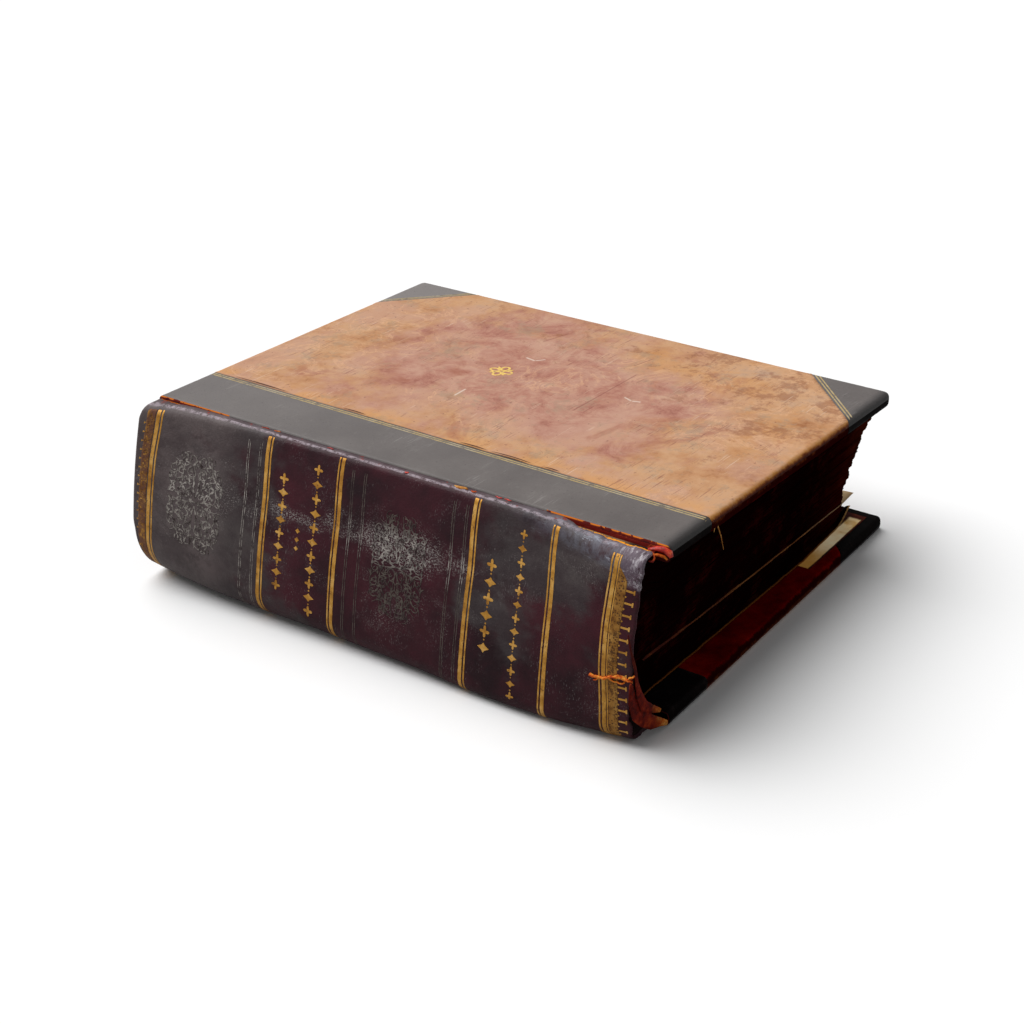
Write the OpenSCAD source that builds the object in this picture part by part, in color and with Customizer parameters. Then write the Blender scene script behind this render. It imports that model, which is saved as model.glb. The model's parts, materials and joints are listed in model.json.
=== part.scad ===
// Thick half-leather book lying flat on its back board.
// Frame of the drawing: X runs from the joint to the fore-edge, Y from the
// tail to the head, Z up from the ground. The last step moves the origin to
// the centre of the footprint.

/* [Boards] */
// Height of the boards, tail to head
board_h = 290; // [220:5:360]
// Width of the boards, joint to fore-edge
board_w = 214; // [170:2:280]
// Thickness of the millboard inside its covering
millboard_t = 5.4; // [4:0.2:8]
// Thickness of the leather and the cloth on a board
cover_t = 0.8; // [0.5:0.1:1]
// Radius of a board's worn corners
board_corner_r = 5; // [3:0.5:10]
// Radius of a board's worn edges
board_edge_r = 2.4; // [1.6:0.1:2.8]
// Width of the covering turned in over a board's inner face
turn_in_w = 19; // [12:1:26]

/* [Thickness] */
// Thickness of the closed book at the joint
joint_h = 90; // [70:1:120]
// Thickness of the closed book at the fore-edge
fore_h = 76.5; // [62:0.5:110]

/* [Leather on the boards] */
// Width of the leather strip at the tail
strip_tail_w = 34; // [25:1:50]
// Width of the leather strip at the head
strip_head_w = 38.5; // [25:0.5:50]
// Length of the tail corner along the tail edge
tail_corner_x = 48; // [30:1:65]
// Length of the tail corner along the fore-edge
tail_corner_y = 45; // [30:1:65]
// Length of the head corner along the head edge
head_corner_x = 46.5; // [25:0.5:65]
// Length of the head corner along the fore-edge
head_corner_y = 41; // [25:1:65]
// Width of one line of a gilt fillet
fillet_w = 0.7; // [0.4:0.1:1]
// Distance between the lines of a double fillet
fillet_pitch = 1.7; // [1.2:0.1:2.4]
// Distance from the leather's edge to its first fillet line
fillet_inset = 1.6; // [1:0.1:3]
// Width of the gilt flower on the front cloth
flower_w = 15; // [8:0.5:24]
// Distance from the joint to the middle of the flower
flower_x = 123.5; // [100:0.5:135]
// Distance from the tail edge to the middle of the flower
flower_y = 172.5; // [110:0.5:190]

/* [Spine] */
// Thickness of the spine leather
spine_leather_t = 1.4; // [1:0.1:2]
// Reach of the spine's upper shoulder beyond the joint
upper_reach = 8.5; // [7:0.5:14]
// Reach of the spine's lower shoulder beyond the joint
lower_reach = 29; // [20:0.5:36]
// Radius of the upper shoulder
upper_r = 4; // [3:0.5:7]
// Radius of the lower shoulder
lower_r = 13; // [8:0.5:16]
// Radius of the spine's face between its shoulders
face_r = 320; // [200:10:600]
// Distance from the boards' tail edge to the worn tail of the leather
tail_wear = 6; // [2:0.5:10]
// Distance from the boards' head edge to the head of the leather
head_set = 1; // [0.5:0.1:2]
// Depth of what is torn off the tail under the upper shoulder
torn_h = 2.6; // [0:0.1:4]
// Length of the crack along the front joint from the head
head_crack_h = 59; // [20:1:90]
// Length of the crack along the front joint from the tail
tail_crack_h = 58; // [20:1:90]
// Width of the crack at the tail, where it is widest
crack_w = 4; // [1:0.1:5]
// Thickness of the paper lining under the leather
lining_t = 0.8; // [0.4:0.1:1.2]

/* [Gilt rules on the spine] */
// Width of the broad line of a double rule
rule_broad_w = 1.9; // [1:0.1:2.5]
// Width of the thin line of a double rule
rule_thin_w = 0.6; // [0.4:0.1:1]
// Gap between the two lines of a rule
rule_gap = 0.9; // [0.5:0.1:1.5]
// Height of a panel between two rules, centre to centre
panel_h = 42.5; // [30:0.5:46]
// Distance from the head edge to the middle of the upper panel
upper_panel_y = 98; // [85:0.1:110]
// Distance from the tail edge to the middle of the lower panel
lower_panel_y = 73; // [55:0.5:85]
// Distance from the head edge to the head rule
head_rule_y = 10; // [7:0.1:14]
// Distance from the tail edge to the tail rule
tail_rule_y = 19.5; // [15:0.1:24]
// Distance between the teeth of a gilt fringe
tooth_pitch = 5.8; // [5:0.1:9]
// Distance between the gilt lozenges of a row in a panel
lozenge_pitch = 9; // [7:0.5:12]

/* [Stamped blocks on the spine] */
// Distance from the head edge to the middle of the upper block
upper_block_y = 37; // [35:0.5:44]
// Distance from the tail edge to the middle of the lower block
lower_block_y = 132.5; // [125:0.5:136]
// Radius of a stamped ring
ring_r = 6; // [3:0.1:7]
// Width of a stamped ring
ring_w = 1; // [0.6:0.1:1.6]

/* [Pages] */
// Distance from the boards' head edge to the head of the bottom leaf
head_square = 4; // [2:0.5:8]
// Distance from the tail edge to the top leaf
top_leaf_y = 5; // [3:0.5:8]
// Distance from the tail edge to the bottom leaf, which has slid headwards
bottom_leaf_y = 18; // [8:0.5:18]
// Distance from the boards' fore-edge to the top leaf
top_leaf_inset = 2; // [1:0.5:6]
// Distance from the boards' fore-edge to the bottom leaf
bottom_leaf_inset = 11; // [5:0.5:16]
// Depth of the hollow in the fore-edge
fore_hollow = 11; // [4:0.5:18]
// Thickness of an endpaper leaf
endpaper_t = 0.3; // [0.2:0.05:0.5]
// Thickness of the loose leaf
loose_leaf_t = 0.3; // [0.2:0.05:0.5]
// Distance that the loose leaf sticks out of the fore-edge
loose_leaf_out = 12; // [4:0.5:14]
// Height of the loose leaf above the back board at the fore-edge
loose_leaf_low = 9; // [5:0.5:14]
// Height of the loose leaf above the back board near the spine
loose_leaf_high = 18; // [12:0.5:24]
// Length of the tear in the tail margin of the back pastedown
tear_w = 145; // [0:5:160]
// Number of gatherings that the leaves are sewn in
gathering_count = 12; // [6:1:18]

/* [Sewing] */
// Number of cords that the sections are sewn on
cord_count = 5; // [3:1:7]
// Width of a sewing cord, which is beaten flat
cord_w = 2.4; // [1.6:0.1:4]
// Thickness of a sewing cord
cord_t = 1.8; // [1.2:0.1:2.4]
// Distance from the leaves' edge to the first and the last cord
cord_edge_y = 34; // [20:1:50]
// Width of the head band that is sewn on the leaves' head
band_w = 2.2; // [1.5:0.1:3]
// Height of the head band
band_h = 1.4; // [1:0.1:2]

/* [Hidden] */
$fn = 48;

// Clearances
joint_gap = 0.3;      // between the spine leather and a board
rest_gap = 0.3;       // between a pastedown and the endleaf that rests on it
shoulder_gap = 0.9;   // from the joint to the shoulder of the leaves
cord_fit = 0.1;       // around a cord in its kerf
leaf_fit = 0.1;       // over and under the loose leaf
ground_gap = 0.3;     // under the spine and below the level of the front board
gold_t = 0.2;         // depth of a gilt line in the leather
stamp_t = 0.3;        // depth of a stamped ring in the leather
groove_w = 0.4;       // width of the groove between two gatherings
groove_t = 0.7;       // depth of that groove

// Sizes that follow
board_t = millboard_t + 2 * cover_t;
wedge = asin((joint_h - fore_h) / board_w);
board_x0 = joint_gap / 2;
pastedown_t = endpaper_t;
square_w = 6.5;       // from the boards' edges to the pastedown
tear_h = turn_in_w - 1.5;
leaf_h = board_h - bottom_leaf_y - head_square;
paper_x0 = 1;         // from the joint to the papers' inner edge
lining_set = 2;       // from the ends of the leather to those of its lining
leaf_x0 = 5;          // from the joint to the inner edge of the loose leaf
leaf_skew = 4.3;      // how far the loose leaf sticks out at the tail
least_r = 0.2;        // least radius of a shoulder deep inside it
face_z0 = 16;         // height of the lowest marks on the spine's face
face_top_set = 11;    // from the level of the joint down to the highest marks
face_z1 = joint_h - face_top_set;
tail_tooth_set = 9.2; // from the tail rule to the fringe's teeth
tail_tooth_y = tail_rule_y - tail_tooth_set;
head_tooth_set = 2.5; // from the head of the leather to its fringe's teeth
head_tooth_y = board_h - head_set - head_tooth_set;
tooth_l = 4.2;        // length of a tooth of a fringe
foot_l = 0.9;         // length of the foot at the end of a tooth
tooth_bar_w = 1;      // width of a tooth
tooth_foot_w = 2.6;   // width of its foot
lozenge_w = 4.6;      // width of a lozenge, along the book
lozenge_h = 5.4;      // height of a lozenge, up the face
ring_space = 4;       // between the two rings of a pair
row_offset = 10;      // from the middle of a panel to its rows of lozenges
slack = 1;            // by which a cutting shape runs past what it cuts
endleaf_depth = board_t + pastedown_t + rest_gap;
leaves_depth = endleaf_depth + endpaper_t;
big = 2 * (board_h + board_w);
origin_x = (board_w - max(lower_reach, upper_reach)) / 2;
origin_y = board_h / 2;

// Plain frames

// The frame of the finished part: the origin lies under the middle
module placed() {
    translate([-origin_x, -origin_y, 0])
        children();
}

// Puts a board that was drawn on its outer face on top of the book
module as_front_cover() {
    translate([0, 0, joint_h])
        rotate([0, wedge, 0])
            mirror([0, 0, 1])
                children();
}

// Draws an outline in X and Z and runs it from y0 to y1
module along_y(y0, y1) {
    translate([0, y1, 0])
        rotate([90, 0, 0])
            linear_extrude(y1 - y0)
                children();
}

// Draws an outline in Y and Z and runs it from x0 to x1
module along_x(x0, x1) {
    translate([x0, 0, 0])
        rotate([90, 0, 90])
            linear_extrude(x1 - x0)
                children();
}

module round_rect(x0, y0, x1, y1, r) {
    translate([x0 + r, y0])
        square([x1 - x0 - 2 * r, y1 - y0]);
    translate([x0, y0 + r])
        square([x1 - x0, y1 - y0 - 2 * r]);
    for (x = [x0 + r, x1 - r], y = [y0 + r, y1 - r])
        translate([x, y])
            circle(r);
}

// Boards, drawn with the outer face on z = 0 and the inner face above it

// A slab that is square at the joint and worn round at its other edges.
// shrink is its distance inside the covered board.
module board_form(shrink) {
    edge_r = board_edge_r - shrink;
    corner_r = board_corner_r - shrink;
    x1 = board_w - shrink;
    y0 = shrink;
    y1 = board_h - shrink;
    z1 = board_t - shrink;
    intersection() {
        translate([0, 0, shrink])
            linear_extrude(z1 - shrink)
                round_rect(-2 * corner_r, y0, x1, y1, corner_r);
        along_y(y0, y1)
            round_rect(-2 * edge_r, shrink, x1, z1, edge_r);
        along_x(board_x0, x1)
            round_rect(y0, shrink, y1, z1, edge_r);
    }
}

// The covering's whole shell, open over the middle of the inner face
module covering_shell() {
    difference() {
        board_form(0);
        board_form(cover_t);
        translate([-turn_in_w, turn_in_w, board_t - cover_t])
            cube([board_w, board_h - 2 * turn_in_w, 2 * cover_t]);
    }
}

module strip_region() {
    polygon([[-slack, -slack], [strip_tail_w, -slack], [strip_head_w, board_h + slack],
        [-slack, board_h + slack]]);
}

// The triangle outside the line from a to b, reaching past the board's corner c
module corner_region(a, b, c) {
    over = 0.3;
    polygon([a + (a - b) * over, b + (b - a) * over, c + (c - (a + b) / 2)]);
}

module tail_corner_region() {
    corner_region([board_w - tail_corner_x, 0], [board_w, tail_corner_y], [board_w, 0]);
}

module head_corner_region() {
    corner_region([board_w - head_corner_x, board_h], [board_w, board_h - head_corner_y],
        [board_w, board_h]);
}

module cut_to_region() {
    translate([0, 0, -slack])
        linear_extrude(board_t + 2 * slack)
            children();
}

// Two thin lines beside the line from a to b, on its right-hand side
module double_line(a, b) {
    run = (b - a) / norm(b - a);
    side = [run[1], -run[0]];
    over = 0.3;
    for (k = [0, 1]) {
        near = fillet_inset + k * fillet_pitch;
        far = near + fillet_w;
        p = a + (a - b) * over;
        q = b + (b - a) * over;
        polygon([p + side * near, q + side * near, q + side * far, p + side * far]);
    }
}

module strip_fillet() {
    double_line([strip_head_w, board_h], [strip_tail_w, 0]);
}

module tail_corner_fillet() {
    double_line([board_w - tail_corner_x, 0], [board_w, tail_corner_y]);
}

module head_corner_fillet() {
    double_line([board_w, board_h - head_corner_y], [board_w - head_corner_x, board_h]);
}

// Lines of gold let into the flat of a board's outer face
module gilt_lines() {
    linear_extrude(gold_t)
        intersection() {
            round_rect(board_x0, board_edge_r, board_w - board_edge_r, board_h - board_edge_r,
                board_corner_r);
            children();
        }
}

// Four pointed petals about the middle of the flower
module flower() {
    tip = flower_w / 2;
    for (a = [0:90:270])
        translate([flower_x, flower_y])
            rotate(a)
                polygon([[0.12 * tip, 0], [0.6 * tip, 0.28 * tip], [tip, 0], [0.6 * tip, -0.28 * tip]]);
}

module bare_board() {
    color("tan")
        board_form(cover_t);
}

module board_strip() {
    color([0.25, 0.23, 0.23])
        difference() {
            intersection() {
                covering_shell();
                cut_to_region() strip_region();
            }
            gilt_lines() strip_fillet();
        }
}

module board_tail_corner() {
    color([0.27, 0.25, 0.25])
        difference() {
            intersection() {
                covering_shell();
                cut_to_region() tail_corner_region();
            }
            gilt_lines() tail_corner_fillet();
        }
}

module board_head_corner() {
    color([0.3, 0.28, 0.27])
        difference() {
            intersection() {
                covering_shell();
                cut_to_region() head_corner_region();
            }
            gilt_lines() head_corner_fillet();
        }
}

module board_cloth() {
    color([0.8, 0.58, 0.44])
        difference() {
            covering_shell();
            cut_to_region() {
                strip_region();
                tail_corner_region();
                head_corner_region();
            }
        }
}

module board_fillets() {
    color([0.78, 0.66, 0.42]) {
        gilt_lines() strip_fillet();
        gilt_lines() tail_corner_fillet();
        gilt_lines() head_corner_fillet();
    }
}

// A pastedown with the paper that fills the hollow between the turn-ins.
// torn_x is how far its tail margin is torn away, from the joint.
module pastedown(torn_x) {
    edge_x = board_w - square_w;
    color([0.72, 0.62, 0.45]) {
        translate([board_x0, turn_in_w, board_t - cover_t])
            cube([board_w - turn_in_w - board_x0, board_h - 2 * turn_in_w, cover_t + pastedown_t / 2]);
        translate([0, 0, board_t])
            linear_extrude(pastedown_t)
                difference() {
                    translate([paper_x0, square_w])
                        square([edge_x - paper_x0, board_h - 2 * square_w]);
                    if (torn_x > 0)
                        square([torn_x, tear_h]);
                }
    }
}

// The spine's section: two shoulders and a face, three arcs that meet smoothly

upper_c = [-upper_reach + upper_r, joint_h - ground_gap - upper_r];
lower_c = [-lower_reach + lower_r, ground_gap + lower_r];

// Centre of the face's arc, which holds both shoulder arcs inside it
function face_centre() =
    let (a = face_r - upper_r, b = face_r - lower_r, v = lower_c - upper_c, d = norm(v),
        along = (a * a - b * b + d * d) / (2 * d), off = sqrt(a * a - along * along), u = v / d)
    upper_c + u * along + off * [-u[1], u[0]];

face_c = face_centre();

// Angle of the line from p to q, from 0 to 360
function heading(p, q) = let (t = atan2(q[1] - p[1], q[0] - p[0])) t < 0 ? t + 360 : t;

upper_end = heading(face_c, upper_c);
lower_start = heading(face_c, lower_c);

function arc_points(c, r, a0, a1, n) =
    [for (i = [0:n]) let (t = a0 + (a1 - a0) * i / n) c + r * [cos(t), sin(t)]];

// The section's edge from the top of the joint round to its foot, d inside the leather
function spine_edge(d) = concat(
    arc_points(upper_c, max(upper_r - d, least_r), 90, upper_end, 10),
    arc_points(face_c, face_r - d, upper_end, lower_start, 12),
    arc_points(lower_c, max(lower_r - d, least_r), lower_start, 270, 12));

// The section from its edge to the line x = -x1
module spine_section(d, x1) {
    polygon(concat([[-x1, joint_h - ground_gap - d]], spine_edge(d), [[-x1, ground_gap + d]]));
}

// A band of the section between two depths
module spine_band(d0, d1, x1) {
    difference() {
        spine_section(d0, x1);
        spine_section(d1, x1 - slack);
    }
}

module spine_leather() {
    placed()
        color([0.24, 0.17, 0.18])
            difference() {
                along_y(tail_wear, board_h - head_set)
                    spine_band(0, spine_leather_t, joint_gap / 2);
                spine_lines();
                gilt_marks();
                stamped_rings();
                joint_cracks();
                torn_tail();
            }
}

// Two wedges where the leather has cracked open along the front joint
module joint_cracks() {
    x1 = slack - joint_gap / 2;
    translate([0, 0, joint_h - 2 * spine_leather_t])
        linear_extrude(3 * spine_leather_t) {
            polygon([[x1, board_h - head_crack_h], [x1, board_h + slack], [-0.8 * crack_w, board_h + slack]]);
            polygon([[x1, tail_crack_h], [x1, -slack], [-crack_w, -slack]]);
        }
}

// A ragged wedge out of the leather's tail, deepest under the upper shoulder
module torn_tail() {
    steps = 8;
    jag = 0.7;
    along_x(-big, -crack_w / 2)
        polygon(concat([[0, joint_h + slack], [0, 0.4 * joint_h]],
            [for (i = [0:steps]) [tail_wear + torn_h * i / steps + jag * (i % 2),
                joint_h * (0.42 + 0.58 * i / steps) + slack]]));
}

// Marks drawn in Y and Z, sunk to a depth in the spine's face
module sunk_in_face(depth) {
    intersection() {
        along_y(tail_wear, board_h - head_set)
            spine_band(0, depth, joint_gap / 2);
        along_x(-big, -upper_r)
            children();
    }
}

// A row of marks up the face
module up_the_face(y, pitch) {
    n = floor((face_z1 - face_z0) / pitch);
    z = (face_z0 + face_z1 - n * pitch) / 2;
    for (i = [0:n])
        translate([y, z + i * pitch])
            children();
}

// A tooth of a fringe: a bar along Y with a foot at its outer end
module tooth(side) {
    y1 = tooth_l / 2;
    y0 = y1 - foot_l;
    bar = tooth_bar_w / 2;
    foot = tooth_foot_w / 2;
    polygon([for (p = [[-y1, -bar], [y0, -bar], [y0, -foot], [y1, -foot],
        [y1, foot], [y0, foot], [y0, bar], [-y1, bar]]) [side * p[0], p[1]]]);
}

module lozenge(w, h) {
    polygon([[-w / 2, 0], [0, -h / 2], [w / 2, 0], [0, h / 2]]);
}

// Gold fringes at both ends and rows of lozenges in the panels
module gilt_marks() {
    upper_y = board_h - upper_panel_y;
    difference() {
        sunk_in_face(gold_t) {
            up_the_face(tail_tooth_y, tooth_pitch) tooth(-1);
            up_the_face(head_tooth_y, tooth_pitch) tooth(1);
            for (y = [upper_y, lower_panel_y], side = [-1, 1])
                up_the_face(y + side * row_offset, lozenge_pitch) lozenge(lozenge_w, lozenge_h);
        }
        torn_tail();
    }
}

// Two blocks of stamped rings, three pairs in each
module stamped_rings() {
    rows = 3;
    sunk_in_face(stamp_t)
        for (y = [board_h - upper_block_y, lower_block_y], side = [-1, 1], i = [0:rows - 1])
            translate([y + side * (ring_r + ring_space / 2), face_z0 + (face_z1 - face_z0) * (i + 0.5) / rows])
                difference() {
                    circle(ring_r);
                    circle(ring_r - ring_w);
                }
}

module one_line(y, w) {
    along_y(y - w / 2, y + w / 2)
        spine_band(0, gold_t, joint_gap / 2);
}

// A broad line and a thin one beside it, on its side towards the tail or the head
module double_rule(y, side) {
    offset_y = (rule_broad_w + rule_thin_w) / 2 + rule_gap;
    one_line(y - side * offset_y / 2, rule_broad_w);
    one_line(y + side * offset_y / 2, rule_thin_w);
}

module spine_lines() {
    upper_y = board_h - upper_panel_y;
    double_rule(board_h - head_rule_y, -1);
    double_rule(upper_y + panel_h / 2, -1);
    double_rule(upper_y - panel_h / 2, 1);
    double_rule(lower_panel_y + panel_h / 2, -1);
    double_rule(lower_panel_y - panel_h / 2, 1);
    double_rule(tail_rule_y, 1);
}

module spine_gilt() {
    placed()
        color([0.74, 0.52, 0.22])
            union() {
                spine_lines();
                gilt_marks();
            }
}

module spine_lining() {
    y0 = tail_wear + lining_set;
    y1 = top_leaf_y + leaf_h - lining_set;
    placed()
        color([0.5, 0.38, 0.25])
            along_y(y0, y1)
                spine_band(spine_leather_t, spine_leather_t + lining_t, shoulder_gap);
}

// The leaves

leaves_d = spine_leather_t + lining_t;

// A point of the front cover's frame, depth below its outer face
function under_cover(x, depth) =
    [x * cos(wedge) - depth * sin(wedge), joint_h - x * sin(wedge) - depth * cos(wedge)];

fore_top = under_cover(board_w - top_leaf_inset, leaves_depth);
fore_foot = [board_w - bottom_leaf_inset, leaves_depth];

// A point of the fore-edge, from its foot at t = 0 to its top at t = 1, hollow between them
function fore_point(t) = fore_foot + (fore_top - fore_foot) * t - [fore_hollow * 4 * t * (1 - t), 0];

function fore_points(n) = [for (i = [0:n]) fore_point(i / n)];

// X of the fore-edge at a height
function fore_x(z) = fore_point((z - fore_foot[1]) / (fore_top[1] - fore_foot[1]))[0];

// The leaves' section, with a shoulder beside each board's joint edge
module leaves_section() {
    spine_section(leaves_d, shoulder_gap);
    polygon(concat([[-upper_r, leaves_depth]], fore_points(16), [under_cover(-upper_r, leaves_depth)]));
}

// Y of the leaves' tail at a height, given how far the leaves have slid there
function tail_at(z) = bottom_leaf_y + (top_leaf_y - bottom_leaf_y)
    * (z - leaves_depth) / (joint_h - 2 * leaves_depth);

// A slanted slice in Y and Z, from y0 to y1 above the leaves' tail
module slid_slice(y0, y1) {
    polygon([[tail_at(0) + y0, 0], [tail_at(joint_h) + y0, joint_h],
        [tail_at(joint_h) + y1, joint_h], [tail_at(0) + y1, 0]]);
}

// The loose leaf's plane: a line from near the spine down to the fore-edge
leaf_x1 = fore_x(board_t + loose_leaf_low) + loose_leaf_out;
function leaf_z(x) = board_t + loose_leaf_high
    + (loose_leaf_low - loose_leaf_high) * (x - leaf_x0) / (leaf_x1 - leaf_x0);

// Height at x of the layer t of the leaves, from the bottom at 0 to the top at 1
function layer_z(x, t) = leaves_depth
    + t * (joint_h - x * tan(wedge) - leaves_depth / cos(wedge) - leaves_depth);

module layer(t) {
    x0 = -lower_reach;
    x1 = board_w + slack;
    polygon([[x0, layer_z(x0, t)], [x1, layer_z(x1, t)], [x1, layer_z(x1, t) + groove_w],
        [x0, layer_z(x0, t) + groove_w]]);
}

// Everything outside a line that runs groove_t inside the fore-edge
module fore_margin() {
    x1 = board_w + slack;
    polygon(concat([for (p = fore_points(16)) p - [groove_t, 0]], [[x1, joint_h], [x1, 0]]));
}

// Shallow grooves between the gatherings, at the tail, the head and the fore-edge
module gathering_grooves() {
    intersection() {
        along_y(-slack, board_h + slack)
            for (i = [1:gathering_count - 1])
                layer(i / gathering_count);
        union() {
            along_y(-slack, board_h + slack)
                fore_margin();
            along_x(-big, big) {
                slid_slice(-big, groove_t);
                slid_slice(leaf_h - groove_t, big);
            }
        }
    }
}

module leaf_slab(x0, x1, extra) {
    polygon([[x0, leaf_z(x0) - extra], [x1, leaf_z(x1) - extra],
        [x1, leaf_z(x1) + loose_leaf_t + extra], [x0, leaf_z(x0) + loose_leaf_t + extra]]);
}

function cord_y(i) = tail_at(joint_h / 2) + cord_edge_y
    + (leaf_h - 2 * cord_edge_y) * i / (cord_count - 1);

module text_block() {
    placed()
        color([0.2, 0.07, 0.05])
            difference() {
                intersection() {
                    along_y(0, board_h)
                        leaves_section();
                    along_x(-big, big)
                        slid_slice(0, leaf_h);
                }
                along_y(-slack, board_h + slack)
                    leaf_slab(leaf_x0 - slack, board_w + slack, leaf_fit);
                for (i = [0:cord_count - 1])
                    along_y(cord_y(i) - cord_w / 2, cord_y(i) + cord_w / 2)
                        spine_band(leaves_d - lining_t, leaves_d + cord_t, 0);
                gathering_grooves();
            }
}

module sewing_cords() {
    placed()
        color([0.62, 0.52, 0.36])
            for (i = [0:cord_count - 1])
                along_y(cord_y(i) - cord_w / 2 + cord_fit, cord_y(i) + cord_w / 2 - cord_fit)
                    spine_band(leaves_d + cord_fit, leaves_d + cord_t - cord_fit, shoulder_gap);
}

module head_band() {
    placed()
        color([0.6, 0.5, 0.33])
            intersection() {
                along_y(board_h / 2, board_h)
                    spine_band(leaves_d + cord_fit, leaves_d + band_w, shoulder_gap);
                along_x(-big, 0)
                    slid_slice(leaf_h, leaf_h + band_h);
            }
}

module front_endleaf() {
    x1 = board_w - top_leaf_inset;
    placed()
        color([0.78, 0.69, 0.52])
            along_y(top_leaf_y, top_leaf_y + leaf_h)
                polygon([under_cover(paper_x0, leaves_depth), under_cover(x1, leaves_depth),
                    under_cover(x1, endleaf_depth), under_cover(paper_x0, endleaf_depth)]);
}

module back_endleaf() {
    placed()
        color([0.78, 0.69, 0.52])
            translate([paper_x0, bottom_leaf_y, endleaf_depth])
                cube([board_w - bottom_leaf_inset - paper_x0, leaf_h, endpaper_t]);
}

module loose_leaf() {
    y0 = bottom_leaf_y - leaf_skew;
    placed()
        color([0.8, 0.7, 0.52])
            along_y(y0, y0 + leaf_h - leaf_skew)
                leaf_slab(leaf_x0, leaf_x1, 0);
}

// The covers

module front_board() { placed() as_front_cover() bare_board(); }
module front_side_cloth() {
    placed()
        as_front_cover()
            color([0.8, 0.58, 0.44])
                difference() {
                    board_cloth();
                    gilt_lines() flower();
                }
}
module front_spine_strip() { placed() as_front_cover() board_strip(); }
module front_corner_head() { placed() as_front_cover() board_head_corner(); }
module front_corner_tail() { placed() as_front_cover() board_tail_corner(); }
module front_fillets() {
    placed()
        as_front_cover()
            color([0.78, 0.66, 0.42])
                union() {
                    board_fillets();
                    gilt_lines() flower();
                }
}
module front_pastedown() { placed() as_front_cover() pastedown(0); }
module back_board() { placed() bare_board(); }
module back_side_cloth() { placed() board_cloth(); }
module back_spine_strip() { placed() board_strip(); }
module back_corner_head() { placed() board_head_corner(); }
module back_corner_tail() { placed() board_tail_corner(); }
module back_fillets() { placed() board_fillets(); }
module back_pastedown() { placed() pastedown(tear_w); }

text_block();
front_endleaf();
back_endleaf();
loose_leaf();
sewing_cords();
spine_lining();
head_band();
spine_leather();
spine_gilt();
front_board();
front_side_cloth();
front_spine_strip();
front_corner_head();
front_corner_tail();
front_fillets();
front_pastedown();
back_board();
back_side_cloth();
back_spine_strip();
back_corner_head();
back_corner_tail();
back_fillets();
back_pastedown();
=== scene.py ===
"""Looks of the worn half-leather book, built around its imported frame.

Shapes are drawn in the book's own millimetres: x from the joint to the fore-edge, y from the tail
to the head, z up from the ground. at() turns them into the frame's metres.
"""
import functools
import json
import math
import random

import bmesh
import bpy
from mathutils import Matrix, Vector, noise


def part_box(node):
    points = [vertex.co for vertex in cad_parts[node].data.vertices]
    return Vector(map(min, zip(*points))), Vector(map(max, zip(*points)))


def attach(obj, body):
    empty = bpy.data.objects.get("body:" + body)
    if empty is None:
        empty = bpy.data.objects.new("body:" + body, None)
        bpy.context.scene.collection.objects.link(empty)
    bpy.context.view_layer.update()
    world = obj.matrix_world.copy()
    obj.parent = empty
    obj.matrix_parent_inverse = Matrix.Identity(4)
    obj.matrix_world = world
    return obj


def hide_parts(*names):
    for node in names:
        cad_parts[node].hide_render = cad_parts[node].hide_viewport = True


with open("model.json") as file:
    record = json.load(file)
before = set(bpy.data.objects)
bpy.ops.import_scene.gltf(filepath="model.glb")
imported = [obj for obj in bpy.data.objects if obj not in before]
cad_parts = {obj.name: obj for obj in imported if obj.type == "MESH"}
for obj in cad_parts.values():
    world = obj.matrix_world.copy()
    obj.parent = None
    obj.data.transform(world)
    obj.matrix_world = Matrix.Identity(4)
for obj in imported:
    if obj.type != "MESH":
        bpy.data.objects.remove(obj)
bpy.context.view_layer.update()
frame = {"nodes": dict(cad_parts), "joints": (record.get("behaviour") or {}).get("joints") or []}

MM = 0.001

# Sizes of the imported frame, in book millimetres
joints = {j["name"]: j for j in frame["joints"]}
JOINT_X, _, JOINT_TOP = joints["front_cover_hinge"]["pos_m"]
cloth_low, cloth_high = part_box("back_side_cloth")
TAIL_Y = cloth_low.y
BOARD_H = (cloth_high.y - cloth_low.y) / MM
BOARD_W = (cloth_high.x - JOINT_X) / MM
BOARD_T = cloth_high.z / MM
JOINT_H = JOINT_TOP / MM

# Sizes repeated from the part
FORE_H = 76.5
COVER_T = 0.8
# How far the front covering stands out of the board's measured face
PROUD = 0.5
EDGE_R = 2.4
CORNER_R = 3.4
TURN_IN = 19.0
STRIP_TAIL, STRIP_HEAD = 34.0, 38.5
TAIL_CORNER = (48.0, 45.0)
HEAD_CORNER = (46.5, 41.0)
TAIL_SEAM = ((BOARD_W - TAIL_CORNER[0], 0.0), (BOARD_W, TAIL_CORNER[1]))
HEAD_SEAM = ((BOARD_W - HEAD_CORNER[0], BOARD_H), (BOARD_W, BOARD_H - HEAD_CORNER[1]))
FILLET_W, FILLET_PITCH, FILLET_INSET = 0.7, 1.7, 1.6
JOINT_GAP = 0.15
FACE_R = 320.0
GROUND_GAP = 0.3
SPINE_T = 1.4
TAIL_WEAR = 6.0
HEAD_SET = 1.0
LEAVES_D = 2.2
LEAVES_DEPTH = BOARD_T + 0.9
LEAF_H = 268.0
TOP_LEAF_Y, BOTTOM_LEAF_Y = 5.0, 18.0
TOP_LEAF_INSET, BOTTOM_LEAF_INSET = 2.0, 11.0
FORE_HOLLOW = 11.0
PANEL_H = 42.5
UPPER_PANEL_Y = BOARD_H - 98.0
LOWER_PANEL_Y = 73.0
HEAD_RULE_Y = BOARD_H - 10.0
TAIL_RULE_Y = 19.5
UPPER_BLOCK_Y = BOARD_H - 37.0
LOWER_BLOCK_Y = 132.5

WEDGE = math.asin((JOINT_H - FORE_H) / BOARD_W)


# Places

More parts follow.
